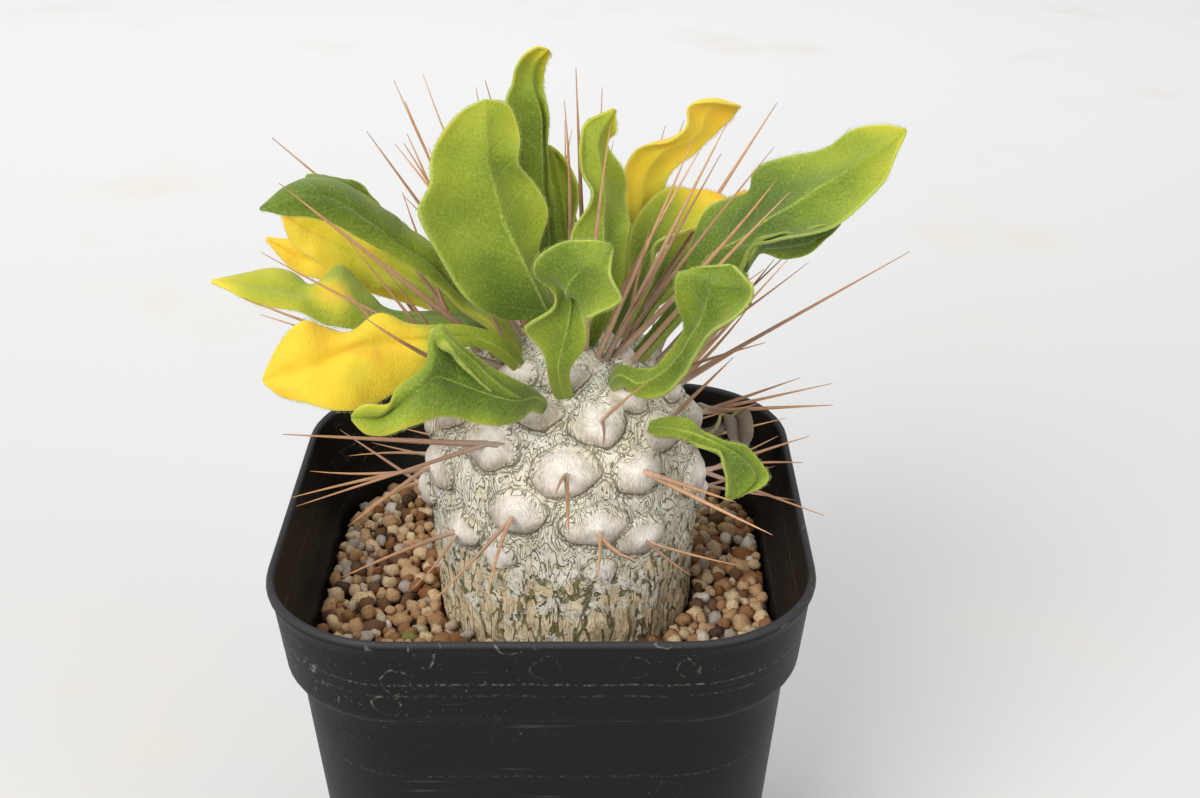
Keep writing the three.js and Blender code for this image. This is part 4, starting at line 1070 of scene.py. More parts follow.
# %% The rails of every leaf
# for each leaf the height and number of its waves, and then its rows from foot to tip, in millimetres:
# a point on the left margin, one on the midrib and one on the right margin, or one point where they meet
LEAVES = {
    "leaf_front_broad": ((0.9, 3.5), [
        (2, -8, 119),
        (-6, -13, 129, 0, -11, 129, 1, -9, 127),
        (-13, -17, 138, -2, -13, 138, 0, -9, 137),
        (-18, -17, 147, -5, -15, 147, 2, -11, 146),
        (-16, -15, 156, -8, -14, 156, -3, -13, 156),
        (-12, -13, 160, -8, -13, 161, -3, -12, 161),
        (-7, -12, 163),
    ]),
    "leaf_rear_tall": ((0.8, 3), [
        (3, 6, 119),
        (0, 3, 126, 2, 5, 124, 3, 6, 124),
        (-3, 4, 137, 1, 7, 136, 2, 8, 135),
        (-5, 6, 149, 0, 10, 146, 1, 9, 147),
        (-6, 8, 156, -1, 12, 154, 1, 11, 156),
        (-4, 10, 162, -1, 12, 160, 1, 11, 163),
        (0, 11, 165),
    ]),
    "leaf_rear_oval": ((0.5, 2), [
        (5, 10, 118),
        (3, 9, 123, 4, 10, 123, 5, 10, 123),
        (1, 12, 133, 4, 14, 132, 5, 13, 133),
        (0, 15, 139, 3, 16, 139, 6, 15, 139),
        (0, 16, 145, 2, 16, 144, 4, 16, 144),
        (1, 16, 147),
    ]),
    "leaf_centre_curl": ((0.7, 4), [
        (6, -5, 119),
        (9, -4, 127, 10, -4, 127, 12, -3, 127),
        (5, -6, 137, 10, -5, 136, 14, -2, 136),
        (8, -5, 144, 10, -3, 143, 14, 1, 140),
        (8, -4, 148, 10, -2, 147, 14, 4, 144),
        (6, -2, 152, 9, -1, 152, 11, 2, 151),
        (8, 0, 156, 10, 0, 155, 12, 2, 154),
        (12, 1, 158),
    ]),
    "leaf_rear_yellow": ((0.7, 3), [
        (10, 6, 118),
        (14, 13, 126, 15, 14, 127, 17, 14, 127),
        (14, 15, 140, 17, 17, 135, 19, 18, 133),
        (15, 17, 146, 19, 20, 141, 23, 22, 139),
        (22, 20, 146, 24, 23, 145, 26, 25, 143),
        (25, 23, 150, 27, 25, 148, 29, 27, 147),
        (33, 26, 151),
    ]),
    "leaf_right_cupped": ((0.5, 2), [
        (12, 2, 118),
        (14, 7, 125, 16, 6, 125, 18, 4, 127),
        (15, 12, 132, 18, 8, 130, 19, 4, 134),
        (20, 16, 139, 22, 11, 133, 23, 5, 136),
        (27, 17, 139, 28, 13, 136, 28, 10, 135),
        (32, 14, 138),
    ]),
    "leaf_rear_right": ((0.4, 2), [
        (15, 6, 116),
        (18, 12, 122, 19, 13, 121, 21, 12, 121),
        (21, 20, 126, 23, 19, 125, 26, 17, 124),
        (28, 26, 131, 30, 26, 129, 32, 23, 128),
        (36, 30, 134),
    ]),
    "leaf_right_long": ((0.8, 3.5), [
        (16, -3, 116),
        (23, -3, 128, 24, -5, 128, 25, -6, 127),
        (25, 2, 135, 28, -4, 134, 33, -9, 135),
        (33, 8, 142, 36, -4, 140, 41, -10, 138),
        (40, 9, 148, 43, -2, 145, 49, -6, 142),
        (50, 8, 152, 52, 1, 150, 55, 0, 148),
        (59, 4, 154),
    ]),
    "leaf_front_right": ((0.6, 3), [
        (13, -10, 115),
        (15, -15, 120, 15, -17, 119, 15, -18, 117),
        (19, -21, 125, 20, -24, 124, 21, -25, 121),
        (22, -23, 130, 23, -27, 130, 25, -31, 132),
        (22, -22, 136, 25, -27, 136, 30, -33, 139),
        (23, -22, 141, 28, -26, 141, 32, -31, 142),
        (29, -27, 142),
    ]),
    "leaf_front_small": ((0.6, 3), [
        (5, -13, 116),
        (1, -17, 124, 3, -18, 125, 6, -17, 124),
        (-2, -22, 131, 3, -22, 131, 8, -21, 131),
        (1, -22, 138, 4, -26, 139, 5, -28, 137),
        (3, -24, 145, 7, -29, 143, 8, -31, 137),
        (10, -27, 146, 10, -30, 142, 11, -32, 139),
        (13, -31, 140),
    ]),
    "leaf_left_long": ((0.6, 3), [
        (-4, -5, 118),
        (-10, -2, 126, -11, -5, 125, -12, -8, 129),
        (-17, -3, 137, -18, -9, 131, -18, -11, 140),
        (-24, -5, 144, -25, -14, 140, -24, -18, 148),
        (-29, -6, 148, -32, -16, 146, -30, -20, 154),
        (-37, -10, 150, -38, -16, 147, -37, -19, 151),
        (-42, -15, 147),
    ]),
    "leaf_left_yellow": ((0.6, 3), [
        (-5, 3, 118),
        (-13, 11, 121, -14, 9, 119, -15, 8, 118),
        (-21, 15, 128, -23, 11, 124, -24, 9, 122),
        (-30, 16, 134, -33, 12, 129, -34, 8, 126),
        (-39, 15, 137, -40, 12, 133, -41, 9, 131),
        (-44, 11, 137),
    ]),
    "leaf_left_low": ((0.6, 3), [
        (-8, -2, 117),
        (-15, 0, 123, -15, -3, 122, -15, -6, 122),
        (-29, 4, 125, -28, -3, 125, -28, -8, 124),
        (-38, 6, 130, -37, -3, 128, -36, -9, 126),
        (-45, 1, 130, -45, -3, 129, -45, -8, 129),
        (-54, -5, 131),
    ]),
    "leaf_left_tip": ((0.5, 2), [
        (-8, 7, 116),
        (-19, 17, 120, -19, 15, 119, -20, 13, 118),
        (-34, 20, 126, -35, 18, 124, -38, 16, 122),
        (-43, 20, 128, -43, 18, 126, -44, 17, 124),
        (-49, 19, 129),
    ]),
    "leaf_yellow_front": ((0.9, 3), [
        (-3, -9, 117),
        (-10, -12, 124, -10, -13, 123, -10, -13, 122),
        (-17, -16, 128, -18, -17, 127, -18, -18, 125),
        (-25, -19, 132, -25, -21, 127, -23, -25, 121),
        (-31, -21, 130, -30, -24, 127, -29, -30, 121),
        (-36, -24, 132, -36, -27, 127, -35, -31, 123),
        (-40, -26, 129, -39, -28, 126, -39, -30, 124),
        (-41, -28, 124),
    ]),
    "leaf_green_front": ((0.7, 3), [
        (-3, -13, 115),
        (-9, -17, 123, -6, -19, 122, -2, -20, 118),
        (-15, -26, 132, -9, -27, 125, -2, -28, 119),
        (-17, -30, 132, -14, -31, 125, -8, -33, 120),
        (-16, -33, 129, -18, -34, 125, -16, -36, 122),
        (-21, -34, 125, -23, -35, 123, -21, -36, 120),
        (-27, -35, 122),
    ]),
    "leaf_low_right": ((0.3, 2), [
        (22, -17, 109),
        (25, -18, 112, 25, -20, 112, 25, -21, 110),
        (30, -20, 110, 29, -22, 110, 29, -25, 110),
        (36, -20, 107, 32, -23, 108, 29, -26, 109),
        (37, -22, 104, 33, -24, 105, 29, -26, 106),
        (34, -24, 102, 32, -25, 103, 30, -26, 104),
        (30, -25, 102),
    ]),
    "leaf_back_left": ((0.8, 3), [
        (-4, 10, 117),
        (-9, 15, 121, -8, 16, 120, -6, 18, 121),
        (-23, 24, 125, -17, 28, 122, -10, 30, 124),
        (-31, 32, 122, -25, 36, 119, -18, 40, 121),
        (-34, 38, 116, -30, 42, 114, -25, 45, 115),
        (-34, 47, 108),
    ]),
    "leaf_back_middle": ((0.8, 3), [
        (4, 15, 115),
        (3, 21, 121, 5, 22, 120, 7, 21, 121),
        (-2, 31, 127, 7, 32, 125, 15, 31, 127),
        (-1, 42, 124, 9, 43, 122, 18, 42, 124),
        (3, 49, 118, 10, 50, 116, 16, 49, 117),
        (11, 54, 110),
    ]),
    "leaf_back_right": ((0.7, 3), [
        (12, 11, 116),
        (18, 18, 119, 20, 17, 118, 21, 16, 119),
        (20, 29, 121, 26, 26, 119, 33, 24, 121),
        (25, 36, 119, 31, 33, 116, 37, 29, 117),
        (32, 40, 113, 35, 38, 111, 38, 34, 112),
        (39, 42, 106),
    ]),
    "leaf_withered": ((0.4, 3), [
        (25, -8, 103),
        (28, -10, 106, 29, -9, 105, 30, -8, 106),
        (30, -9, 109, 32, -7, 107, 34, -7, 109),
        (31, -9, 105, 33, -8, 104, 35, -9, 105),
        (33, -9, 101),
    ]),
}
print("leaves:", len(LEAVES), "with", sum(len(rows) for _, rows in LEAVES.values()), "rows")


# %% From rails to a surface
LEAF_SUNK = 3.5


def along_rail(points, share):
    """Points of a smooth curve through the rail's points, for an array of shares from 0 to 1."""
    last = len(points) - 1
    place = np.clip(share, 0, 1) * last
    i = np.minimum(place.astype(int), last - 1)
    t = (place - i)[:, None]
    run = np.vstack([2 * points[0] - points[1], points, 2 * points[-1] - points[-2]])
    before, here, there, after = run[i], run[i + 1], run[i + 2], run[i + 3]
    t2, t3 = t * t, t * t * t
    curve = (2 * t3 - 3 * t2 + 1) * here + (3 * t2 - 2 * t3) * there
    return curve + (t3 - 2 * t2 + t) * (there - before) / 2 + (t3 - t2) * (after - here) / 2


def rails_of(rows):
    """Left margin, midrib and right margin; a foot that is one point runs on a little into the trunk."""
    one_point = 3
    sides = np.array([row * 3 if len(row) == one_point else row for row in rows], float).reshape(-1, 3, 3)
    if len(rows[0]) == one_point:
        core = np.array([TRUNK_X, 0, 100.0])
        sides[0] += unit(core - sides[0, 0]) * LEAF_SUNK
    return sides.transpose(1, 0, 2)


def blade_frame(rails, share):
    """Middle line, the direction across and the direction out of the blade, for an array of shares."""
    left, midrib, right = rails
    held = np.clip(share, 0.12, 0.9)
    across = unit(along_rail(right, held) - along_rail(left, held))
    ahead = along_rail(midrib, np.minimum(share + 0.04, 1))
    behind = along_rail(midrib, np.maximum(share - 0.04, 0))
    return along_rail(midrib, share), across, unit(np.cross(ahead - behind, across))


def blade_points(leaf, share, side_share, shapes=LEAVES):
    """Points of the blade's middle surface; side_share runs from -1 at the left margin to 1 at the right."""
    (wave, count), rows = shapes[leaf]
    rails = rails_of(rows)
    middle, across, out = blade_frame(rails, share)
    side = np.where(side_share < 0, -1, 1)
    reach = np.abs(side_share)[:, None]
    margin = np.where(side[:, None] < 0, along_rail(rails[0], share), along_rail(rails[2], share))
    swell = 0.95 - 0.55 * share if shapes is LEAVES else 0.15 + 0.8 * soft_step(share, 0.16, 0.04)
    margin = margin + across * (side * swell)[:, None]
    blade = (np.clip((share - 0.15) * 5, 0, 1) * np.minimum(1, (1 - share) * 6))[:, None]
    waves = np.sin((share * count + side * 0.17) * 2 * math.pi)[:, None]
    lift = blade * (3.6 * reach * (1 - reach) + wave * waves * reach**2)
    return middle + (margin - middle) * reach + out * lift


STEPS_ALONG = 40
STEPS_ASIDE = 8
shares, sides = np.meshgrid(
    np.arange(1, STEPS_ALONG + 1) / STEPS_ALONG, np.arange(-STEPS_ASIDE, STEPS_ASIDE + 1) / STEPS_ASIDE,
    indexing="ij",
)
all_blades = np.concatenate([blade_points(leaf, shares.ravel(), sides.ravel()) for leaf in LEAVES])
print("points for the spines to keep clear of:", len(all_blades))

# %% [markdown]
# ## The spines
#
# The spines stand in twos and threes on the bosses, short and level low down, long and steep in the crown.
# The ones that show from the front are given by their tips; a seeded rule adds the rest. A spine that would
# pierce a leaf swings aside a little at a time until it passes clear, as a living one grows past it.

# %% Where the spines are
# angle in degrees and height of the foot, and the tip
CROWN_SPINES = [
    ((172, 118.5), (-44, 8, 151)),
    ((160, 118.5), (-28, 5, 153)),
    ((-165, 119.5), (-22, -4, 164)),
    ((-170, 119.8), (-18, 0, 164)),
    ((150, 119.5), (-24, 8, 150)),
    ((-150, 118.5), (-28, -3, 148)),
    ((-80, 120), (-8, -4, 164)),
    ((-142, 117.5), (-37, -27, 154)),
    ((-132, 116.5), (-30, -30, 147)),
    ((-160, 115), (-46, -16, 133)),
    ((-148, 114), (-43, -18, 131)),
    ((-90, 119.8), (4, 2, 159)),
    ((-50, 119.8), (5, -10, 161)),
    ((20, 119.5), (10, 6, 160)),
    ((-20, 119.8), (14, 4, 162)),
    ((-35, 119), (22, 2, 159)),
    ((-50, 118.5), (24, -10, 157)),
    ((-45, 118), (28, -12, 155)),
    ((5, 119), (39, 14, 155)),
    ((-22, 118), (36, -12, 156)),
    ((-35, 118), (36, -16, 152)),
    ((-27, 116.5), (38, -18, 151)),
    ((22, 119), (32, 12, 143)),
    ((-14, 114), (42, -14, 138)),
    ((-20, 112), (58, -12, 139)),
]
KEEP_OFF = 1.7
SPINE_TRIES = 40


def seeded(seed):
    """A small random generator, the same as the solid model uses, so that both place things alike."""
    state = seed
    while True:
        state = state * 16807 % 2147483647
        yield state / 2147483647


def clear_spine(foot, tip):
    """Foot and tip after swinging clear of every blade, or None where there is no way through."""
    line = tip - foot
    length = np.linalg.norm(line)
    sideways = unit(np.cross(line, (0.3, 0.2, 1)))
    upwards = unit(np.cross(sideways, line))
    close = all_blades[np.linalg.norm(all_blades - (foot + tip) / 2, axis=1) < length * 0.75 + 6]
    for attempt in range(SPINE_TRIES):
        swing, swung = 0.012 * attempt * length, 2.4 * attempt
        shift, shifted = 0.09 * attempt, 1.7 * attempt
        end = tip + sideways * swing * math.cos(swung) + upwards * swing * math.sin(swung)
        start = foot + sideways * shift * math.cos(shifted) + upwards * shift * math.sin(shifted)
        along = np.arange(0.7, length, 1.4)[:, None] / length
        samples = start + (end - start) * along
        gaps = np.linalg.norm(close[:, None] - samples, axis=2)
        if not len(close) or gaps.min() > KEEP_OFF:
            return start, end
    return None


def boss_foot(boss):
    return boss["point"] + boss["out"] * boss["height"] * 0.7


def place_spines():
    draw = seeded(2207)
    wanted = [(boss_foot(boss), np.array(tip, float)) for boss in bosses for tip in boss["tips"] or []]
    for (angle, z), tip in CROWN_SPINES:
        wanted.append((trunk_frame(math.radians(angle), z)[0], np.array(tip, float)))
    for boss in bosses:
        if boss["tips"] is not None:
            continue
        high = min(1, max(0, (boss["point"][2] - 96) / 22))
        around = unit(np.array([-boss["out"][1], boss["out"][0], 0]))
        count = 3 if high > 0.55 else 2
        for i in range(count):
            spread = (i - (count - 1) / 2) * (0.55 + 0.25 * next(draw))
            rise = 0.1 + 0.75 * high + 0.35 * (next(draw) - 0.5)
            length = (15 + 19 * high) * (0.75 + 0.5 * next(draw))
            way = boss["out"] + around * spread + np.array([0, 0, rise])
            wanted.append((boss_foot(boss), boss_foot(boss) + unit(way) * length))
    found = [clear_spine(foot, tip) for foot, tip in wanted]
    return [spine for spine in found if spine]


# tips of the solid model's spines where this plant has none, and one long spine that it has instead
STRAY_TIPS = np.array([
    (-5.5, -25.1, 157), (-4.1, -27, 149.6), (26.6, 16.5, 163.5),
    (23.3, -8.3, 153.9), (20.3, 10.9, 150.6), (27.9, 3.7, 154.9),
])
spines = [spine for spine in place_spines() if np.linalg.norm(STRAY_TIPS - spine[1], axis=1).min() > 2]
LONG_SPINE = (np.array([15.5, 9, 117]), np.array([40.2, 25, 151.6]))
spines.append(LONG_SPINE)
print("spines:", len(spines), "longest", round(max(np.linalg.norm(t - f) for f, t in spines)), "mm")

# %% [markdown]
# A spine is a slender cone that is a little stouter at its foot. One is modelled straight and two are bowed,
# and every spine is a copy of one of them, stretched between its foot and its tip.

# %% Three spines to copy
SPINE_SUNK = 3


def model_spine(bow):
    """A cone from z = 0 to 1 with unit radius at its foot; bow is in radii."""
    put_down()
    bpy.ops.mesh.primitive_cone_add(vertices=6, radius1=1, radius2=0.07, depth=1, location=(0, 0, 0.5))
    spine = bpy.context.object
    bpy.ops.object.transform_apply(location=True)
    ring_up(spine, 6)
    for vertex in spine.data.vertices:
        z = vertex.co.z
        stout = 1 + 0.3 * math.exp(-z * 14) + 0.45 * z
        vertex.co = Vector((vertex.co.x * stout + bow * 4 * z * (1 - z), vertex.co.y * stout, z))
    return spine


spine_shapes = [model_spine(bow) for bow in (0, 0.9, 1.9)]
print("spine shapes:", len(spine_shapes), "of", triangles(spine_shapes[0]), "triangles")


# %% Setting the spines
# from foot to tip
HORN = [
    (0.0, 232, 220, 206), (0.14, 214, 190, 170), (0.3, 190, 152, 126),
    (0.6, 202, 154, 116), (0.9, 210, 154, 104), (1.0, 160, 102, 62),
]


def spine_matrices(spines, draw):
    rows = []
    for foot, tip in spines:
        line = unit(tip - foot)
        foot = foot - line * SPINE_SUNK
        length = np.linalg.norm(tip - foot)
        turn = Vector(line).to_track_quat("Z", "Y").to_matrix()
        turn = turn @ Matrix.Rotation(draw.uniform(0, 6.28), 3, "Z")
        radius = (0.33 + 0.0054 * length) * draw.uniform(0.78, 1.12)
        matrix = np.eye(4)
        matrix[:3, :3] = np.array(turn) * (radius * MM, radius * MM, length * MM)
        matrix[:3, 3] = foot * MM
        rows.append(matrix)
    return np.array(rows)


def spine_finish():
    finish = Finish("horny_spine", Roughness=0.42, Specular_IOR_Level=0.4)
    along = finish.attribute("along")
    tint = finish.attribute("tint")
    horn = finish.ramp(along, HORN)
    tinted = finish.mix(finish.step(tint, 0.45, 1) * 0.6, horn, shade(226, 180, 138))
    tinted = finish.mix(finish.step(tint, 0.5, 0) * 0.55, tinted, shade(142, 112, 98))
    grown = finish.step(finish.attribute("long"), 0.022, 0.036) * finish.step(along, 0.8, 0.3)
    tinted = finish.mix(grown * 0.4, tinted, shade(142, 110, 94))
    grain = finish.step(finish.cloud(finish.place(), 900, 3), 0.45, 0.7)
    finish.feed("Base Color", finish.mix(grain * 0.3, tinted, shade(150, 110, 92)))
    return finish.material


draw = np.random.default_rng(5)
count = len(spines)
matrices = spine_matrices(spines, draw)
lengths = np.linalg.norm(matrices[:, :3, 2], axis=1)
picks = draw.integers(0, len(spine_shapes), count)
spine_piece = gather(spine_shapes, picks, matrices, {"tint": draw.random(count), "long": lengths})
spine_piece.data.materials.append(spine_finish())
settle(spine_piece, "spines", "bark", "stem")

# %% [markdown]
# ## The leaves
#
# Each blade starts as a flat grid, whose own UV map runs from foot to tip and from margin to margin. Its
# points are moved onto the rails' surface, with a groove along the midrib and a slight puckering between
# the side veins. A Solidify modifier then gives it thickness, stout at the stalk and thin in the blade, and
# one level of subdivision rounds its edge. A leaf could be cut from a picture on a flat plane, but it would
# have no edge and no relief when seen from near. Twelve leaves get more rows than the solid model has, so
# that their margins wave as the real ones do, and three get a lobe where a margin folds over.

# %% More rows for the waved margins
FINER_ROWS = {
    "leaf_front_broad": ((0.5, 3.5), [
        (2, -8, 119),
        (1, -11, 126, 1.5, -10, 126, 2, -9, 126),
        (-6, -14, 128.5, 0.5, -12, 130, 2, -10, 128.5),
        (-11, -17, 133, -1, -13, 134.5, 0.5, -9, 133),
        (-14, -18, 139.5, -3, -13, 139, 0, -9, 139),
        (-18, -18, 147.5, -5.5, -13, 145.5, 1.5, -9, 144.5),
        (-16, -17, 152, -6.5, -14, 150.5, -0.5, -10, 149.5),
        (-15.5, -16, 155.5, -7.5, -14, 154.5, -3, -12, 153.5),
        (-14, -15, 159, -7.5, -14, 158.5, -2.5, -12, 157.5),
        (-11, -13, 162, -7.5, -13, 161.5, -4, -12, 162.5),
        (-7.5, -12, 163.5),
    ]),
    "leaf_yellow_front": ((0.5, 3), [
        (-3, -9, 117),
        (-6.5, -11, 123.5, -6.5, -12, 122.5, -6.5, -11, 121),
        (-12, -13, 126.5, -12, -14, 125.5, -11.5, -14, 124),
        (-17, -16, 128, -17, -17, 126.5, -16, -18, 123),
        (-21, -17, 129, -20.5, -19, 127, -19.5, -22, 121.5),
        (-25, -18, 131, -24.5, -21, 127.5, -23.5, -26, 120.5),
        (-28.5, -21, 129.5, -28.5, -23, 127.5, -27, -29, 120),
        (-32.5, -22, 130.5, -32, -25, 126.5, -31, -31, 121),
        (-35.5, -24, 132.5, -35, -27, 126, -35, -31, 122.5),
        (-39, -26, 129.5, -38.5, -28, 125.5, -38.5, -30, 123),
        (-41.5, -28, 124.5),
    ]),
    "leaf_green_front": ((0.4, 3), [
        (1, -15, 113),
        (-2, -20, 118.5, -1, -21, 118, -1.5, -20, 116),
        (-4, -25, 123, -3.5, -27, 120.5, -3, -26, 117),
        (-7, -27, 126, -7, -29, 122.5, -6, -30, 118),
        (-10.5, -28, 128.5, -10.5, -30, 124.5, -9.5, -32, 119.5),
        (-13, -29, 131.5, -13, -31, 126, -12, -34, 121.5),
        (-15.5, -30, 134, -15, -33, 127.5, -14.5, -36, 122.5),
        (-16, -32, 129, -17, -35, 126.5, -17, -37, 122),
        (-20, -34, 126.5, -20, -35, 124, -19.5, -38, 121.5),
        (-21.5, -36, 124.5, -23, -36, 122.5, -22.5, -38, 120.5),
        (-25, -37, 125, -25.5, -37, 123, -25, -38, 121),
        (-27, -37, 123),
    ]),
    "leaf_right_long": ((0.5, 3.5), [
        (16, -3, 116),
        (23, -3, 127.5, 24, -4, 127.5, 24.5, -5, 127),
        (25, 1, 135.5, 27, -3, 134, 31.5, -8, 133),
        (27.5, 4, 140, 30.5, -4, 136.5, 33.5, -9, 139),
        (33.5, 7, 142.5, 34, -4, 139, 37, -11, 140.5),
        (35.5, 8, 145.5, 37.5, -4, 141.5, 42, -10, 141),
        (42.5, 8, 148, 42, -2, 144, 47, -7, 141.5),
        (47, 8, 149.5, 46.5, 0, 146, 51.5, -4, 144),
        (51, 7, 152.5, 50.5, 1, 148.5, 54.5, -2, 146.5),
        (55.5, 5, 154, 55, 2, 151, 56.5, 0, 150),
        (59, 4, 153.5),
    ]),
    "leaf_front_right": ((0.4, 3), [
        (13, -10, 115),
        (13, -14, 119.5, 13, -16, 119.5, 13.5, -16, 118.5),
        (16, -18, 121.5, 16, -20, 120, 16, -20, 117.5),
        (18.5, -20, 123, 19, -23, 123, 20, -25, 121),
        (20.5, -21, 127, 22, -25, 127, 23, -29, 128),
        (22, -22, 130.5, 23.5, -26, 131, 25.5, -32, 133.5),
        (21.5, -22, 135, 25, -27, 135, 29, -34, 137.5),
        (21, -22, 138.5, 26, -27, 138.5, 31, -34, 140.5),
        (21.5, -22, 140, 26.5, -27, 140, 31.5, -34, 142.5),
        (24.5, -22, 140.5, 27.5, -26, 141, 31, -32, 142.5),
        (29, -27, 143),
    ]),
    "leaf_front_small": ((0.4, 3), [
        (5, -13, 112.5),
        (2, -17, 120, 3, -18, 121, 4, -17, 120.5),
        (0.5, -20, 126, 3.5, -19, 126, 7, -19, 125.5),
        (-2, -23, 131, 4.5, -20, 130, 7.5, -21, 129.5),
        (3, -22, 134, 5, -20, 134.5, 6.5, -21, 134.5),
        (0.5, -22, 138, 4.5, -24, 137, 7.5, -31, 136.5),
        (0, -23, 141, 5, -26, 139.5, 9.5, -33, 138),
        (1.5, -24, 144, 6.5, -27, 142, 11.5, -34, 139.5),
        (5, -25, 146, 8, -29, 144, 12.5, -34, 141),
        (8.5, -26, 146.5, 10, -29, 145, 11, -32, 143.5),
        (11.5, -27, 146),
    ]),
    "leaf_left_long": ((0.4, 3), [
        (-4, -5, 118),
        (-7, -4, 124, -6.5, -6, 123.5, -7, -8, 123.5),
        (-12, -4, 128.5, -12.5, -7, 128, -12.5, -9, 128),
        (-16.5, -5, 136.5, -17, -9, 135, -17, -11, 133.5),
        (-21, -5, 140, -21.5, -11, 139.5, -22.5, -12, 138),
        (-25.5, -6, 144.5, -26.5, -13, 144.5, -27.5, -14, 142.5),
        (-30, -8, 149, -31, -15, 148.5, -32, -16, 145.5),
        (-35, -10, 150, -35, -17, 150, -36, -17, 147),
        (-39, -13, 149, -38.5, -17, 149, -39, -17, 147.5),
        (-42, -16, 147.5),
    ]),
    "leaf_left_low": ((0.4, 3), [
        (-8, -2, 117),
        (-12, -2, 123, -12, -4, 123, -11.5, -6, 123),
        (-24.5, 0, 123, -24.5, -3, 123, -25, -6, 122.5),
        (-29, 3, 125, -29, -3, 124.5, -29.5, -7, 123),
        (-34, 6, 129, -33.5, -3, 127.5, -33, -8, 124.5),
        (-38, 1, 128, -37.5, -4, 128, -36.5, -8, 125.5),
        (-41.5, 1, 130, -41, -4, 128.5, -40, -8, 127),
        (-48, 0, 130.5, -47.5, -4, 130, -46.5, -8, 129),
        (-53.5, -5, 131),
    ]),
    "leaf_left_yellow": ((0.5, 3), [
        (-5, 3, 118),
        (-13, 11, 120.5, -13.5, 9, 119.5, -14.5, 8, 118.5),
        (-20.5, 14, 126.5, -22.5, 11, 124.5, -25, 9, 123.5),
        (-27.5, 15, 132, -30.5, 12, 128, -31, 9, 124),
        (-35, 15, 135.5, -37, 12, 132, -38, 9, 128.5),
        (-41, 14, 137, -41, 12, 134, -42.5, 10, 132),
        (-44.5, 12, 136.5),
    ]),
    "leaf_rear_yellow": ((0.5, 3), [
        (10, 6, 118),
        (13.5, 12, 126.5, 14.5, 13, 126, 16, 13, 126.5),
        (14, 14, 132, 16, 15, 132, 18.5, 16, 132),
        (14, 15, 136.5, 16.5, 16, 137, 20.5, 18, 137),
        (14, 16, 142, 17.5, 18, 141.5, 21.5, 20, 140),
        (16.5, 17, 146, 20.5, 19, 145, 24, 22, 142.5),
        (21, 18, 147, 24.5, 21, 146, 27.5, 24, 144),
        (24.5, 19, 149.5, 27, 23, 147.5, 29.5, 26, 145),
        (25, 20, 152, 28, 24, 150.5, 31, 27, 147),
        (27.5, 21, 153, 30.5, 25, 151.5, 33, 28, 148.5),
        (34, 25, 151),
    ]),
    "leaf_rear_tall": ((0.4, 3), [
        (3, 6, 119),
        (0, 4, 125.5, 1.5, 6, 124, 3, 7, 123.5),
        (-3, 5, 136.5, 0.5, 8, 135, 2, 9, 134.5),
        (-5, 6, 143.5, 0, 9, 142, 1.5, 10, 142),
        (-6, 7, 149, 0, 10, 148, 1, 11, 148),
        (-6, 8, 154, 0, 11, 153.5, 1, 12, 152.5),
        (-5.5, 9, 157.5, -1, 11, 157, 0.5, 12, 156.5),
        (-4.5, 10, 159.5, -1.5, 12, 159, 0.5, 13, 158.5),
        (-3, 10, 163, -1, 12, 162, 1, 13, 162),
        (-1, 11, 165, 0.5, 12, 164, 1.5, 13, 163.5),
        (1, 12, 164.5),
    ]),
    "leaf_low_right": ((0.2, 2), [
        (20, -16, 110),
        (23, -18, 112.5, 22.5, -20, 111.5, 22, -20, 110.5),
        (26, -19, 111, 25.5, -21, 111, 25.5, -21, 109.5),
        (30, -20, 109.5, 29.5, -22, 109.5, 28.5, -23, 109.5),
        (33.5, -20, 108.5, 31.5, -23, 108.5, 29, -26, 109),
        (36.5, -21, 105, 34, -23, 105.5, 29.5, -26, 106),
        (36, -23, 103.5, 33, -24, 103.5, 29.5, -26, 103.5),
        (30, -25, 101.5),
    ]),
}
print("leaves with more rows:", len(FINER_ROWS))

# %% Lobes where a margin folds over
LOBES = {
    "leaf_right_long": ((0, 1), [
        (32.5, -7, 135, 32.5, -6, 134, 32.5, -6, 133.5),
        (34.5, -9, 139.5, 35, -7, 137.5, 34.5, -6, 136.5),
        (37.5, -9, 140.5, 38, -5, 137, 39, -3, 134),
        (41, -8, 140.5, 42, -4, 137, 43, -2, 134.5),
        (44.5, -7, 141.5, 45.5, -4, 138.5, 45.5, -3, 136.5),
        (48, -5, 141),
    ]),
    "leaf_left_long": ((0, 1), [
        (-36, -8, 149, -35.5, -9, 149, -35.5, -9, 148.5),
        (-33.5, -6, 149, -32.5, -8, 149, -32, -9, 148.5),
        (-30.5, -4, 148.5, -30, -7, 148.5, -30, -9, 148),
        (-28, -3, 147, -28, -6, 147, -28, -8, 146.5),
        (-26.5, -4, 145.5, -26.5, -5, 145, -26.5, -7, 144.5),
        (-25, -5, 143.5),
    ]),
    "leaf_green_front": ((0, 1), [
        (-14.5, -30, 134, -14.5, -32, 134, -14, -32, 133.5),
        (-12.5, -29, 131.5, -11.5, -32, 131.5, -11.5, -32, 130),
        (-9.5, -28, 129, -9, -31, 128.5, -9, -31, 126.5),
        (-6, -27, 125.5, -6, -30, 125, -6.5, -29, 123),
        (-3.5, -25, 122.5, -3.5, -28, 122, -4, -27, 120),
        (-1, -23, 118.5),
    ]),
}
SHAPES = LEAVES | FINER_ROWS | {"lobe_of_" + leaf: lobe for leaf, lobe in LOBES.items()}
print("shapes to model:", len(SHAPES))

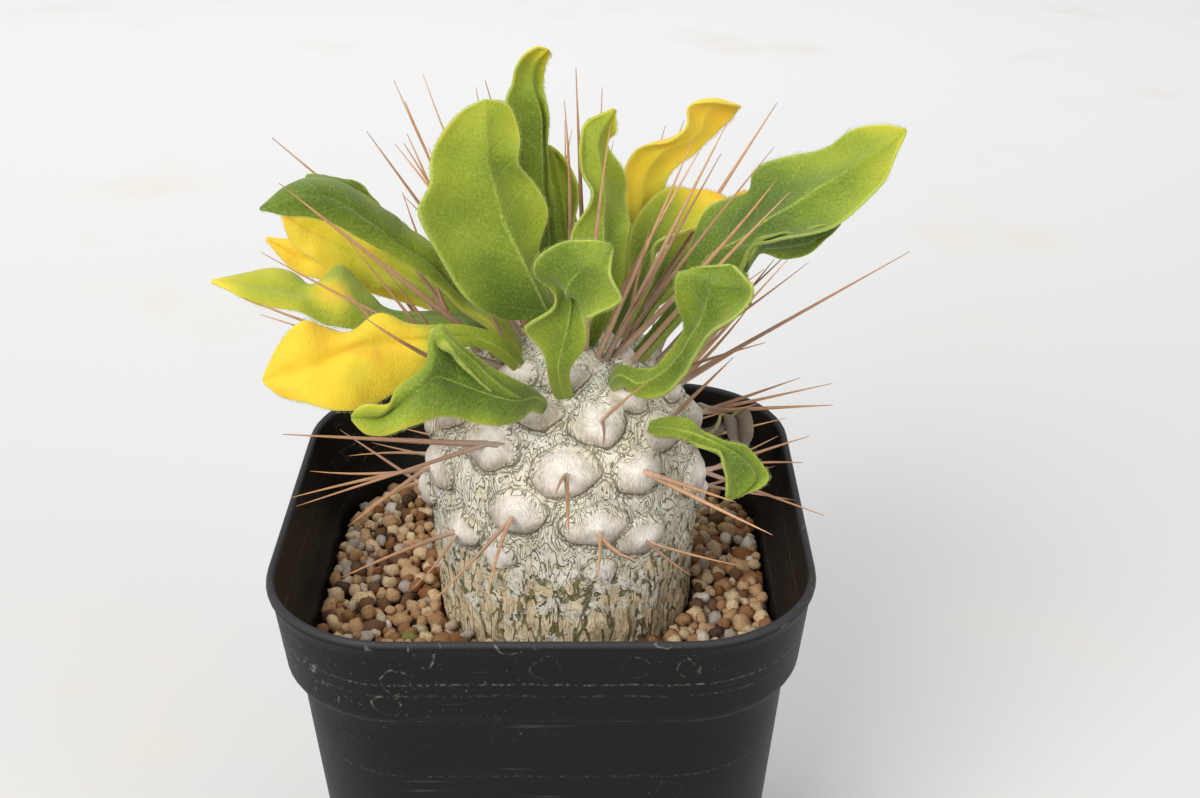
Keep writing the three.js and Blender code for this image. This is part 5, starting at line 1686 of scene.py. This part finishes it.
# %% How ripe each leaf is
# from 0, deep green, to 1, orange yellow: at its foot, middle and tip, and how much more at its margins
RIPENESS = {
    "leaf_front_broad": (0.06, 0.3, 0.37, 0.08),
    "leaf_rear_tall": (0.14, 0.2, 0.62, 0.08),
    "leaf_rear_oval": (0.3, 0.32, 0.45, 0.1),
    "leaf_centre_curl": (0.16, 0.3, 0.46, 0.1),
    "leaf_rear_yellow": (0.5, 0.76, 0.8, 0.0),
    "leaf_right_cupped": (0.04, 0.26, 0.82, 0.22),
    "leaf_rear_right": (0.12, 0.26, 0.86, 0.05),
    "leaf_right_long": (0.06, 0.1, 0.46, 0.12),
    "leaf_front_right": (0.25, 0.14, 0.24, 0.14),
    "leaf_front_small": (0.3, 0.15, 0.22, 0.12),
    "leaf_left_long": (0.4, 0.2, 0.1, 0.1),
    "leaf_left_yellow": (0.2, 0.6, 0.76, 0.0),
    "leaf_left_low": (0.05, 0.34, 0.5, 0.06),
    "leaf_left_tip": (0.45, 0.7, 0.84, 0.0),
    "leaf_yellow_front": (0.3, 0.74, 0.88, 0.0),
    "leaf_green_front": (0.12, 0.16, 0.34, 0.26),
    "leaf_low_right": (0.25, 0.14, 0.24, 0.1),
    "leaf_back_left": (0.2, 0.2, 0.3, 0.1),
    "leaf_back_middle": (0.2, 0.25, 0.4, 0.1),
    "leaf_back_right": (0.2, 0.2, 0.3, 0.1),
    "leaf_withered": (0.5, 0.5, 0.5, 0.0),
    "lobe_of_leaf_right_long": (0.1, 0.0, 0.1, 0.15),
    "lobe_of_leaf_left_long": (0.15, 0.08, 0.1, 0.15),
    "lobe_of_leaf_green_front": (0.3, 0.22, 0.25, 0.1),
}
# where a patch is riper than the rest: its place, its reach in millimetres and how much riper
RIPE_PATCHES = {
    "leaf_left_low": [((-34, -3, 129), 3.6, 0.5), ((-54, -6, 131), 3.0, 0.35)],
    "leaf_yellow_front": [((-23, -19, 125), 5.0, 0.2), ((-42, -19, 122), 4.0, 0.12)],
    "leaf_right_cupped": [((28, 2, 144), 5.0, 0.25)],
}
print("ripest at the tip:", max(RIPENESS, key=lambda leaf: RIPENESS[leaf][2]))


# %% From grid to blade
STALK_THICKNESS = 1.9
BLADE_THICKNESS = 0.55
VEINS = 9
# cells along and across a grid, before it is subdivided
CELLS = (46, 14)
SMALL_CELLS = (30, 10)
LOBE_CELLS = (24, 10)


def dressed_blade(leaf, share, side_share):
    """The blade with its fine relief: midrib groove, side veins, puckers and a crimped margin."""
    points = blade_points(leaf, share, side_share, SHAPES)
    rails = rails_of(SHAPES[leaf][1])
    out = blade_frame(rails, share)[2]
    reach = np.abs(side_share)
    blade = np.clip((share - 0.15) * 6, 0, 1) * np.minimum(1, (1 - share) * 8)
    dip = -0.3 * np.exp(-((reach / 0.08) ** 2)) * blade
    veins = -0.07 * np.abs(np.cos((share * VEINS - reach * 1.1) * math.pi)) ** 8 * blade * (reach > 0.05)
    size = 0.6 if leaf == "leaf_withered" else 5.5
    rough = (0.5 * noise_at(points, size, seed=2.0) + 0.16 * noise_at(points, 2.1, seed=6.0)) * blade
    crimp = 0.3 * noise_at(points, 2.2, seed=8.0) * reach**4 * blade
    return points + out * (dip + veins + rough + crimp)[:, None]


def model_blade(leaf, cells):
    """One blade of cells along and across, with how ripe each point is."""
    put_down()
    bpy.ops.mesh.primitive_grid_add(x_subdivisions=cells[0], y_subdivisions=cells[1], size=1, calc_uvs=True)
    blade = bpy.context.object
    flat = np.array([v.co for v in blade.data.vertices])
    share = flat[:, 0] - flat[:, 0].min()
    share /= share.max()
    side_share = flat[:, 1] / flat[:, 1].max()
    points = dressed_blade(leaf, share, side_share)
    blade.data.vertices.foreach_set("co", (points * MM).ravel())
    foot, middle, tip, edge = RIPENESS[leaf]
    ripe = np.interp(share, [0.1, 0.5, 0.95], [foot, middle, tip]) + edge * np.abs(side_share) ** 3
    ripe += 0.12 * noise_at(points, 6, seed=4.0)
    for place, reach, more in RIPE_PATCHES.get(leaf, []):
        ripe += more * np.exp(-((np.linalg.norm(points - place, axis=1) / reach) ** 2))
    store(blade, {"ripe": ripe})
    stout = blade.vertex_groups.new(name="stout")
    for index, part in enumerate(share):
        stout.add([index], 1 - soft_step(part, 0.05, 0.4), "REPLACE")
    stalk, thin = STALK_THICKNESS * MM, BLADE_THICKNESS / STALK_THICKNESS
    settings = {"thickness": stalk, "offset": 0, "vertex_group": "stout", "thickness_vertex_group": thin}
    apply_modifier(blade, "SOLIDIFY", **settings)
    apply_modifier(blade, "SUBSURF", levels=1, render_levels=1)
    pick_up(blade)
    bpy.ops.object.shade_smooth()
    return blade


# %% [markdown]
# The blades are velvety. Their green turns to lemon and then to orange yellow as they ripen, first at the
# tips and margins; the midrib stays pale, and the margin keeps a light rim of hairs. Ripeness is stored
# with each point, and the veins follow the leaf's UV map.


# %% The finish of the blades
# from deep green over lemon to orange yellow
RIPENING = [
    (0.0, 68, 94, 20), (0.12, 93, 118, 28), (0.25, 126, 147, 40), (0.4, 160, 172, 50),
    (0.58, 208, 198, 54), (0.75, 242, 210, 58), (0.9, 250, 202, 56), (1.0, 247, 180, 52),
]
VEIN_SLANT = 1.1
# light that enters a blade comes out again near by, most of it green and least of it blue
GLOW = {"Subsurface_Weight": 0.3, "Subsurface_Radius": (0.8, 1.0, 0.25), "Subsurface_Scale": 0.0012}
DOWNY = {"Sheen_Weight": 0.15, "Sheen_Roughness": 0.45, "Specular_IOR_Level": 0.3}


def leaf_finish(name, withered=False):
    finish = Finish(name, Roughness=0.6, **DOWNY, **GLOW)
    where = finish.place()
    uv = finish.node("TexCoord", output="UV")
    along = finish.axis("X", uv)
    reach = abs(finish.axis("Y", uv) - 0.5) * 2
    patch = finish.cloud(where, 170, 4, 0.6)
    fine = finish.cloud(where, 2600, 3, 0.6)
    ripe = finish.attribute("ripe") + (patch - 0.5) * 0.2 + (fine - 0.5) * 0.1
    colour = finish.ramp(ripe, RIPENING)
    if withered:
        colour = finish.mix(patch, shade(132, 116, 106), shade(92, 78, 70))
    colour = finish.mix(finish.step(patch, 0.4, 0.7) * 0.3, colour, shade(214, 226, 180), "MULTIPLY")
    # midrib and side veins, plainest while the leaf is green
    green = finish.step(ripe, 0.62, 0.3)
    beads = 0.6 + 0.8 * finish.step(fine, 0.44, 0.6)
    midrib = finish.step(reach + (fine - 0.5) * 0.05, 0.05, 0.012) * finish.step(along, 0.9, 0.4) * beads
    slant = along * VEINS - reach * VEIN_SLANT
    vein = finish.step(abs((slant * math.pi + math.pi / 2).sine()), 0.22, 0.02)
    vein = vein * finish.step(reach, 0.98, 0.7)
    ribs = (midrib * 0.36).most(vein * 0.07) * (0.25 + 0.75 * green)
    colour = finish.mix(ribs, colour, shade(206, 216, 104))
    # the pale margin, and the grain of the down
    margin = finish.step(reach + (fine - 0.5) * 0.1, 0.92, 1.0)
    colour = finish.mix(margin * 0.34, colour, shade(206, 214, 120))
    colour = finish.mix(finish.step(fine, 0.5, 0.72) * 0.2 * green, colour, shade(190, 204, 120))
    hollows = finish.step(fine, 0.48, 0.3) * 0.24 * green
    colour = finish.mix(hollows, colour, shade(150, 160, 110), "MULTIPLY")
    if not withered:
        blush = finish.step(finish.cloud(where, 110, 3, 0.6), 0.5, 0.68) * finish.step(ripe, 0.62, 0.8)
        colour = finish.mix(blush * 0.36, colour, shade(240, 168, 62))
    spots = finish.step(finish.cloud(where, 330, 1), 0.775, 0.8)
    colour = finish.mix(spots * 0.55, colour, shade(176, 128, 66))
    finish.feed("Base Color", colour)
    finish.feed("Roughness", 0.5 + 0.25 * fine)
    finish.relief(fine * 0.7 - vein * 0.3 * green + finish.cloud(where, 900, 2) * 0.6, 0.0002)
    return finish.material


velvet = leaf_finish("velvet_leaf")
dry = leaf_finish("withered_leaf", withered=True)
print("leaf finishes:", velvet.name, dry.name)

# %% The blades
YELLOW = ("leaf_rear_yellow", "leaf_rear_right", "leaf_left_yellow", "leaf_left_tip", "leaf_yellow_front")
TURNING = ("leaf_right_cupped", "leaf_left_low")
SLOTS = dict.fromkeys(YELLOW, "leaf_yellow") | dict.fromkeys(TURNING, "leaf_turning")
SLOTS["leaf_withered"] = "leaf_withered"
SMALL = ("leaf_withered", "leaf_left_tip", "leaf_rear_right")

blades = {}
for leaf in LEAVES:
    blade = model_blade(leaf, SMALL_CELLS if leaf in SMALL else CELLS)
    blade.data.materials.append(dry if leaf == "leaf_withered" else velvet)
    if leaf in LOBES:
        lobe = model_blade("lobe_of_" + leaf, LOBE_CELLS)
        lobe.data.materials.append(velvet)
        pick_up(blade, lobe)
        bpy.ops.object.join()
    name = "blade_of_" + leaf.removeprefix("leaf_")
    blades[leaf] = settle(blade, name, SLOTS.get(leaf, "leaf_green"), leaf)

# %% [markdown]
# ## The down on the leaves
#
# Short pale hairs cover the blades and stand out along their margins, which gives every leaf a soft light
# rim. Hair systems aren't kept by the export, so a hair is modelled once as a three-sided spike, and each
# hair of the plant is a copy of it with its foot just under the skin.


# %% Hairs
HAIR_SUNK = 0.06
MARGIN_SPACING = 0.13  # one hair for each such length of the midrib, at either margin
FACE_DENSITY = 1.5  # hairs for each square millimetre


def model_hair():
    put_down()
    bpy.ops.mesh.primitive_cone_add(vertices=3, radius1=1, radius2=0, depth=1, location=(0, 0, 0.5))
    hair = bpy.context.object
    bpy.ops.object.transform_apply(location=True)
    return hair


def hair_matrices(roots, ways, lengths, width):
    """Matrices that stand a unit spike at each root, along each way; everything in millimetres."""
    z_axis = unit(ways)
    x_axis = unit(np.cross(z_axis, (0.31, 0.52, 0.79)))
    y_axis = np.cross(z_axis, x_axis)
    matrices = np.zeros((len(roots), 4, 4))
    matrices[:, :3, 0] = x_axis * width * MM
    matrices[:, :3, 1] = y_axis * width * MM
    matrices[:, :3, 2] = z_axis * lengths[:, None] * MM
    matrices[:, :3, 3] = (roots - z_axis * HAIR_SUNK) * MM
    return matrices


def margin_hairs(draw):
    """Roots and ways of the hairs that fringe both margins of every green or ripe leaf."""
    roots, ways = [], []
    for leaf in LEAVES:
        if leaf == "leaf_withered":
            continue
        length = np.linalg.norm(np.diff(rails_of(SHAPES[leaf][1])[1], axis=0), axis=1).sum()
        count = int(length / MARGIN_SPACING)
        for side in (-1.0, 1.0):
            share = draw.uniform(0.14, 0.995, count)
            edge = dressed_blade(leaf, share, np.full(count, side))
            inner = dressed_blade(leaf, share, np.full(count, side * 0.86))
            out = unit(edge - inner)
            roots.append(edge + out * 0.1)
            ways.append(out + draw.normal(0, 0.35, (count, 3)))
    return np.concatenate(roots), np.concatenate(ways)


def face_hairs(draw):
    """Roots and ways of the hairs on both faces of every blade."""
    roots, ways = [], []
    for blade in blades.values():
        if "withered" in blade.name:
            continue
        faces = blade.data.polygons
        areas = np.array([face.area for face in faces]) / MM**2
        normals = np.array([face.normal for face in faces])
        corners = np.array([[blade.data.vertices[v].co for v in face.vertices] for face in faces]) / MM
        chosen = draw.choice(len(faces), int(areas.sum() * FACE_DENSITY), p=areas / areas.sum())
        a, b = draw.random((2, len(chosen), 1))
        first, second, third, fourth = corners[chosen].transpose(1, 0, 2)
        near_edge, far_edge = first * (1 - a) + second * a, fourth * (1 - a) + third * a
        roots.append(near_edge * (1 - b) + far_edge * b)
        ways.append(normals[chosen] + draw.normal(0, 0.5, (len(chosen), 3)))
    return np.concatenate(roots), np.concatenate(ways)


def hair_finish():
    finish = Finish("pale_down", Roughness=0.5)
    along = finish.attribute("along")
    finish.feed("Base Color", finish.mix(along, shade(176, 192, 104), shade(216, 222, 170)))
    return finish.material


draw = np.random.default_rng(19)
down_finish = hair_finish()
# name, roots and ways, width and greatest length in millimetres
for name, (roots, ways), width, longest in (
    ("margin_down", margin_hairs(draw), 0.022, 0.46),
    ("face_down", face_hairs(draw), 0.013, 0.26),
):
    lengths = draw.uniform(0.5, 1, len(roots)) * longest
    matrices = hair_matrices(roots, ways, lengths, width)
    hairs = gather([model_hair()], np.zeros(len(roots), int), matrices, {"tint": draw.random(len(roots))})
    hairs.data.materials.append(down_finish)
    settle(hairs, name, "leaf_green")

# %% [markdown]
# ## The size, and the end
#
# The finished plant has to fill the same box as the solid model, so both boxes are gathered side by side,
# and the visible one is printed.

# %% Both boxes
visual_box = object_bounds()
sizes = {"cad": [list(corner) for corner in cad_box], "visual": [list(corner) for corner in visual_box]}
print("visible model, lowest and highest corner:", told(visual_box))
